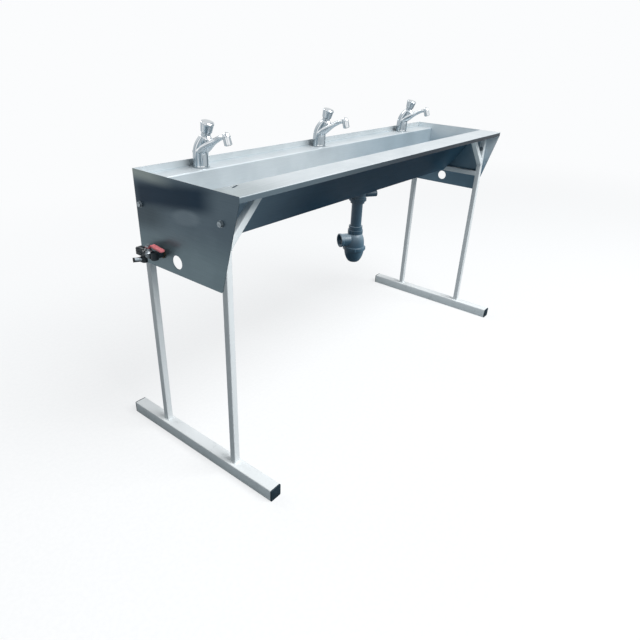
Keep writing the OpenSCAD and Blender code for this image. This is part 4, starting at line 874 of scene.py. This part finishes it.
class WASHTROUGH_OT_taps(bpy.types.Operator):
    """Makes the three chrome push taps and finishes what holds them under the deck"""

    bl_idname = "wash_trough.taps"
    bl_label = "Push taps"

    base_width: length("Base width", "Diameter of a tap's base flange", 50.0)
    shank: length("Shank", "Length of the threaded shank under the deck", 48.0)

    def execute(self, context):
        colours = finish_colours()
        chrome = plated("polished_chrome", colours.chrome, colours.chrome_dark, 0.06, streak_share=0.9)
        for name in TAPS:
            self.make_body(name, chrome)
            self.make_button(name, chrome)
        dress(chrome, "tap_aerators", *(name + "_tap_cartridge" for name in TAPS))
        dress(turned_metal("turned_brass", colours.brass, "brass_film"), "tap_backnuts", "tap_connectors")
        acetal = grained_plastic("moulded_white_acetal", colours.white, 0.4, worn="worn_acetal")
        dress(acetal, "tap_washers")
        silicone = grained_plastic("moulded_grey_silicone", "silicone", 0.6, worn="worn_silicone")
        dress(silicone, "tap_base_seals")
        return {"FINISHED"}

    def origin(self, name):
        """Middle of a tap's base on its seal"""
        low, high, middle = box_of(name + "_tap_body")
        return np.array([middle[0], high[1] - self.base_width / 2, low[2] + self.shank])

    def neck_end(self):
        """Place and tilt of a tap's neck end, from its base, where the button sits"""
        sizes = finish_sizes()
        shift = Matrix.Translation((0, -sizes.tap_lean, sizes.tap_neck))
        return shift @ Matrix.Rotation(sizes.button_tilt, 4, "X")

    def column(self):
        """Round column that turns into the leaning neck"""
        sizes = finish_sizes()
        lean, neck = sizes.tap_lean / MM, sizes.tap_neck / MM
        # Height, distance to the user, width, tilt as a share of the button's
        rows = smooth_stations([
            (4, 0, 45, 0), (12, 0.3, 44, 0.1), (26, 1, 44, 0.3), (42, 3, 44, 0.6), (56, 8, 43, 1),
            (67, 14.5, 40.5, 1.35), (76, 20.5, 37, 1.4), (neck - 4.5, lean - 3, 34, 1.2),
            (neck - 1, lean - 0.6, 31.5, 1), (neck, lean, 29, 1)], 48, lengths=3)
        return lofted(-rows[:, 1], rows[:, 0], rows[:, 3] * sizes.button_tilt, rows[:, 2], rows[:, 2], 2.0)

    def arched_pad(self):
        """Pad with an arched top on the column's front"""
        # Height, distance to the user, width, thickness
        rows = smooth_stations([(5, 15.5, 27, 18), (16, 15.5, 26, 18), (32, 15.5, 25, 18.4),
                                (41, 15.5, 21, 18), (46, 15, 13, 15), (48, 14.5, 2, 4)], 30)
        return lofted(-rows[:, 1], rows[:, 0], 0.0, rows[:, 2], rows[:, 3], 2.3)

    def spout(self):
        """Flat arm that narrows as it rises to the outlet; its sections stand square to its run"""
        sizes = finish_sizes()
        tip = sizes.spout_reach / MM - 24 * math.sin(sizes.outlet_tilt)
        top = sizes.spout_height / MM + 24 * math.cos(sizes.outlet_tilt)
        # Distance to the user, height, width, thickness, squareness
        rows = smooth_stations([
            (-8, 40, 41, 18, 3), (6, 45, 43.4, 23, 3), (20, 52, 40, 25, 2.8), (36, 61.5, 31, 22, 2.7),
            (52, 71, 23.5, 17.5, 2.6), (70, 80.5, 19, 15, 2.4), (90, 89.5, 17.5, 13.5, 2.2),
            (tip - 6, top - 4.5, 16, 12.5, 2), (tip, top - 3.5, 15, 11, 2)], 52)
        out, up, width, thickness, squareness = rows.T
        square_to_run = math.pi / 2 - np.arctan2(np.gradient(up), np.gradient(out))
        return lofted(-out, up, square_to_run, width, thickness, squareness)

    def bulb(self):
        """Rounded head under the button: (a sin t, -b cos t) turned round its axis"""
        sizes = finish_sizes()
        t = np.linspace(0, math.pi, 25)
        head = turned(np.stack([13.8 * MM * np.sin(t), -12.4 * MM * np.cos(t)], -1), 48)
        return moved(head, Matrix.Translation((0, -sizes.tap_lean - 4.6 * MM, sizes.tap_neck - 8.5 * MM)))

    def outlet(self):
        """Tilted outlet at the spout's end, open at its mouth"""
        sizes = finish_sizes()
        profile = softened([(0, 10), (8.1, 10), (8.1, 0), (11, 0), (11, 20), (11.6, 21), (11.4, 23),
                            (9.5, 31), (0, 35)], [0.5, 0.5, 1.2, 0.4, 0.6, 1, 5])
        return moved(turned(profile), Matrix.Translation((0, -sizes.spout_reach, sizes.spout_height))
                     @ Matrix.Rotation(-sizes.outlet_tilt, 4, "X"))

    def make_body(self, name, material):
        """Tap body with its base flange, its shank and the fixed pin that the hollow button slides on"""
        flange = softened([(0, 0), (22.9, 0), (22.9, 1.5), (22.3, 5), (22, 12), (0, 12)],
                          [0.4, 0.8, 3, 0.3])
        end = -self.shank / MM
        shank = softened([(0, end), (10.3, end), (10.45, end + 1), (10.45, 1), (0, 1)], 0.5)
        pin = softened([(0, -4), (8.5, -4), (8.5, 20), (0, 20)], 1)
        grids = [turned(flange), self.column(), self.arched_pad(), self.spout(), self.bulb(), self.outlet(),
                 turned(shank, 48), moved(turned(pin, 48), self.neck_end())]
        start = self.origin(name)
        make_piece(name + "_chrome_tap", [grid + start for grid in grids], material, "root",
                   [name + "_tap_body"], crease=40.0)

    def make_button(self, name, material):
        """Push button: a hollow tapered cap with a rolled lip, turned round the neck's tilted axis"""
        profile = softened([(0, 30), (13.4, 30), (13.4, 10.6), (15.5, 10.6), (16, 12), (18.3, 31),
                            (19.2, 33), (19.2, 36.4), (17.4, 38.6), (11, 40), (0, 40)],
                           [0.3, 0.4, 0.6, 1, 1.2, 1, 1.4, 2, 2])
        cap = moved(turned(profile), Matrix.Translation(self.origin(name)) @ self.neck_end())
        make_piece(name + "_chrome_button", [cap], material, name + "_button",
                   [name + "_tap_button"], crease=40.0)


# Pipes

class WASHTROUGH_OT_pipes(bpy.types.Operator):
    """Finishes the supply pipes, their fittings and clips"""

    bl_idname = "wash_trough.pipes"
    bl_label = "Supply pipes"

    def execute(self, context):
        colours = finish_colours()
        dress(turned_metal("drawn_copper", colours.copper, "copper_film", 0.34), "supply_pipes")
        dress(turned_metal("soldered_copper", colours.copper, "solder_film", 0.42), "pipe_fittings")
        dress(turned_metal("oxidised_brass", "aged_brass", "oxide_film", 0.4), "bulkhead_nuts")
        dress(grained_plastic("moulded_white_nylon", colours.white, 0.45, worn="worn_nylon"), "pipe_clips")
        return {"FINISHED"}


# Valve

class WASHTROUGH_OT_valve(bpy.types.Operator):
    """Finishes the ball valve, its lever and its fittings"""

    bl_idname = "wash_trough.valve"
    bl_label = "Ball valve"

    def execute(self, context):
        colours = finish_colours()
        nickel = {"tone": colours.nickel, "dark": "nickel_dark", "roughness": 0.38, "streak_share": 0.85}
        dress(plated("nickel_plated_brass", **nickel), "valve_ball", "hose_tail")
        # The valve is nickel plated at its front; a black nylon nut covers its rear, below the stem
        _, high, middle = box_of("valve_body")
        rear_nut = (high[1] - 16.5 * MM, middle[2] + 13 * MM)
        dress(plated("nickel_and_nylon", **nickel, nylon_nut=rear_nut), "valve_body")
        nylon = grained_plastic("moulded_black_nylon", colours.fitting, 0.42)
        dress(nylon, "inlet_elbow", "inlet_tee", "tee_cap")
        dress(grained_plastic("black_nitrile", colours.rubber, 0.65, worn="worn_rubber"), "tail_seal")
        dress(self.red_finish("red_powder_coating", colours.lever, 0.38), "valve_lever")
        dress(self.red_finish("red_dipped_vinyl", colours.sleeve, 0.45), "lever_grip")
        return {"FINISHED"}

    def red_finish(self, name, tone, roughness):
        """Red plastic skin, dipped or sprayed, with a coarser grain, dulled in patches by hands"""
        return grained_plastic(name, tone, roughness, 1.2, 0.04, worn="worn_red")


# Waste and trap

class WASHTROUGH_OT_waste(bpy.types.Operator):
    """Finishes the strainer, the waste and the bottle trap"""

    bl_idname = "wash_trough.waste"
    bl_label = "Waste and trap"

    outlet_turn: angle("Outlet turn", "Turn of the trap's outlet from the back to the left", 60.0)
    outlet_rise: length("Outlet rise", "Height of the outlet's axis over the ring", 28.0)
    outlet_reach: length("Outlet reach", "Distance from the trap's axis to its outlet's mouth", 67.0)
    cup_height: length("Cup height", "Height of the trap's cup", 50.0)
    ring_height: length("Ring height", "Height of the ring over the cup", 14.0)

    def execute(self, context):
        colours = finish_colours()
        ring_top = box_of("trap_cup")[0][2] + self.cup_height + self.ring_height
        trap = trap_plastic(colours, ring_top)
        dress(trap, "waste_body", "overflow_plug", "waste_backnut", "trap_inlet_nut", "waste_pipe",
              "trap_collar_nut")
        self.make_trap(trap)
        rubber = grained_plastic("moulded_black_epdm", colours.rubber, 0.7, worn="worn_rubber")
        dress(rubber, "waste_gasket", "trap_seal", "cup_seal")
        pressed = turned_metal("pressed_stainless", colours.sheet_top, "stainless_film", 0.25)
        dress(pressed, "waste_strainer")
        return {"FINISHED"}

    def make_trap(self, material):
        """Domed trap body with four lugs on its ring and an open outlet, and the tapered cup"""
        low, _, middle = box_of("trap_cup")
        foot = Vector((middle[0], middle[1], low[2] + self.cup_height))
        shoulder = foot + Vector((0, 0, self.ring_height))

        def lugs(around, profile):
            """2 mm more radius on the ring, within a few degrees of 37, 127, 217 and 307 degrees"""
            off = np.abs((around - math.radians(37) + math.pi / 4) % (math.pi / 2) - math.pi / 4)
            on_ring = (profile[:, :1] > 42 * MM) & (profile[:, 1:] < -0.5 * MM)
            return on_ring * 2 * MM * np.clip(2.4 - off[None, :] / math.radians(2.5), 0, 1)

        body = softened([(39.8, -13), (39.8, -14), (43.5, -14), (43.5, -7), (43.5, 0), (39, 0.6),
                         (38.8, 10), (37.8, 22), (35.6, 34), (31.8, 45), (27.5, 52), (26, 54), (22, 54),
                         (22, 49), (29, 40), (34, 22), (34.6, -3), (39.8, -3), (39.8, -13)],
                        [0.4, 0.8, 1, 1.6, 1.6, 5, 5, 5, 4, 2, 0.8, 0.5, 2, 4, 5, 1, 0.6])
        bore, reach = 21.7, self.outlet_reach / MM
        outlet = softened([(18, 20), (25, 20), (25.2, 56), (27, 60), (27, reach), (bore, reach),
                           (bore, 39), (18, 39), (18, 20)], [0.5, 0.8, 0.8, 0.8, 0.6, 0.5, 0.5])
        place = (Matrix.Translation(shoulder + Vector((0, 0, self.outlet_rise)))
                 @ Matrix.Rotation(self.outlet_turn, 4, "Z") @ Matrix.Rotation(-math.pi / 2, 4, "X"))
        grids = [moved(turned(body[:-1], 144, lugs), Matrix.Translation(shoulder)),
                 moved(turned(outlet[:-1]), place)]
        make_piece("domed_trap_body", grids, material, "root", ["trap_body"],
                   wrap_rows=True)
        base = -self.cup_height / MM
        cup = softened([(0, base), (19.8, base), (24.8, -45.6), (30.6, -36), (35.8, -23.5), (38.6, -11),
                        (39.3, -3), (39.3, -0.5), (36.8, -0.5), (36.8, 8.4), (33.8, 8.4), (33.8, -3),
                        (34.8, -12), (32.4, -22.6), (27.4, -34.4), (18, base + 3), (0, base + 3)],
                       [2.4, 3, 5, 6, 6, 3, 0.6, 0.4, 0.6, 0.6, 3, 4, 6, 5, 3])
        make_piece("tapered_trap_cup", [moved(turned(cup), Matrix.Translation(foot))], material, "root",
                   ["trap_cup"])


# Panel and running order

OPERATORS = (WASHTROUGH_OT_stage, WASHTROUGH_OT_trough, WASHTROUGH_OT_leg_frames, WASHTROUGH_OT_fixings,
             WASHTROUGH_OT_taps, WASHTROUGH_OT_pipes, WASHTROUGH_OT_valve, WASHTROUGH_OT_waste)


class WASHTROUGH_PT_panel(bpy.types.Panel):
    """Lists the steps that build the wash trough's looks"""

    bl_idname = "WASHTROUGH_PT_panel"
    bl_label = "Wash Trough"
    bl_space_type = "VIEW_3D"
    bl_region_type = "UI"
    bl_category = "Wash Trough"

    def draw(self, context):
        for step in OPERATORS:
            self.layout.operator(step.bl_idname)


GROUPS = {"wash_trough_colours": WashTroughColours, "wash_trough_sizes": WashTroughSizes,
          "wash_trough_camera": WashTroughCamera}


def register():
    for cls in (*GROUPS.values(), *OPERATORS, WASHTROUGH_PT_panel):
        bpy.utils.register_class(cls)
    for name, group in GROUPS.items():
        setattr(bpy.types.Scene, name, PointerProperty(type=group))


def unregister():
    for name in GROUPS:
        delattr(bpy.types.Scene, name)
    for cls in reversed((*GROUPS.values(), *OPERATORS, WASHTROUGH_PT_panel)):
        bpy.utils.unregister_class(cls)


def main():
    register()
    for step in OPERATORS:
        group, name = step.bl_idname.split(".")
        getattr(getattr(bpy.ops, group), name)()


if __name__ == "__main__":
    main()
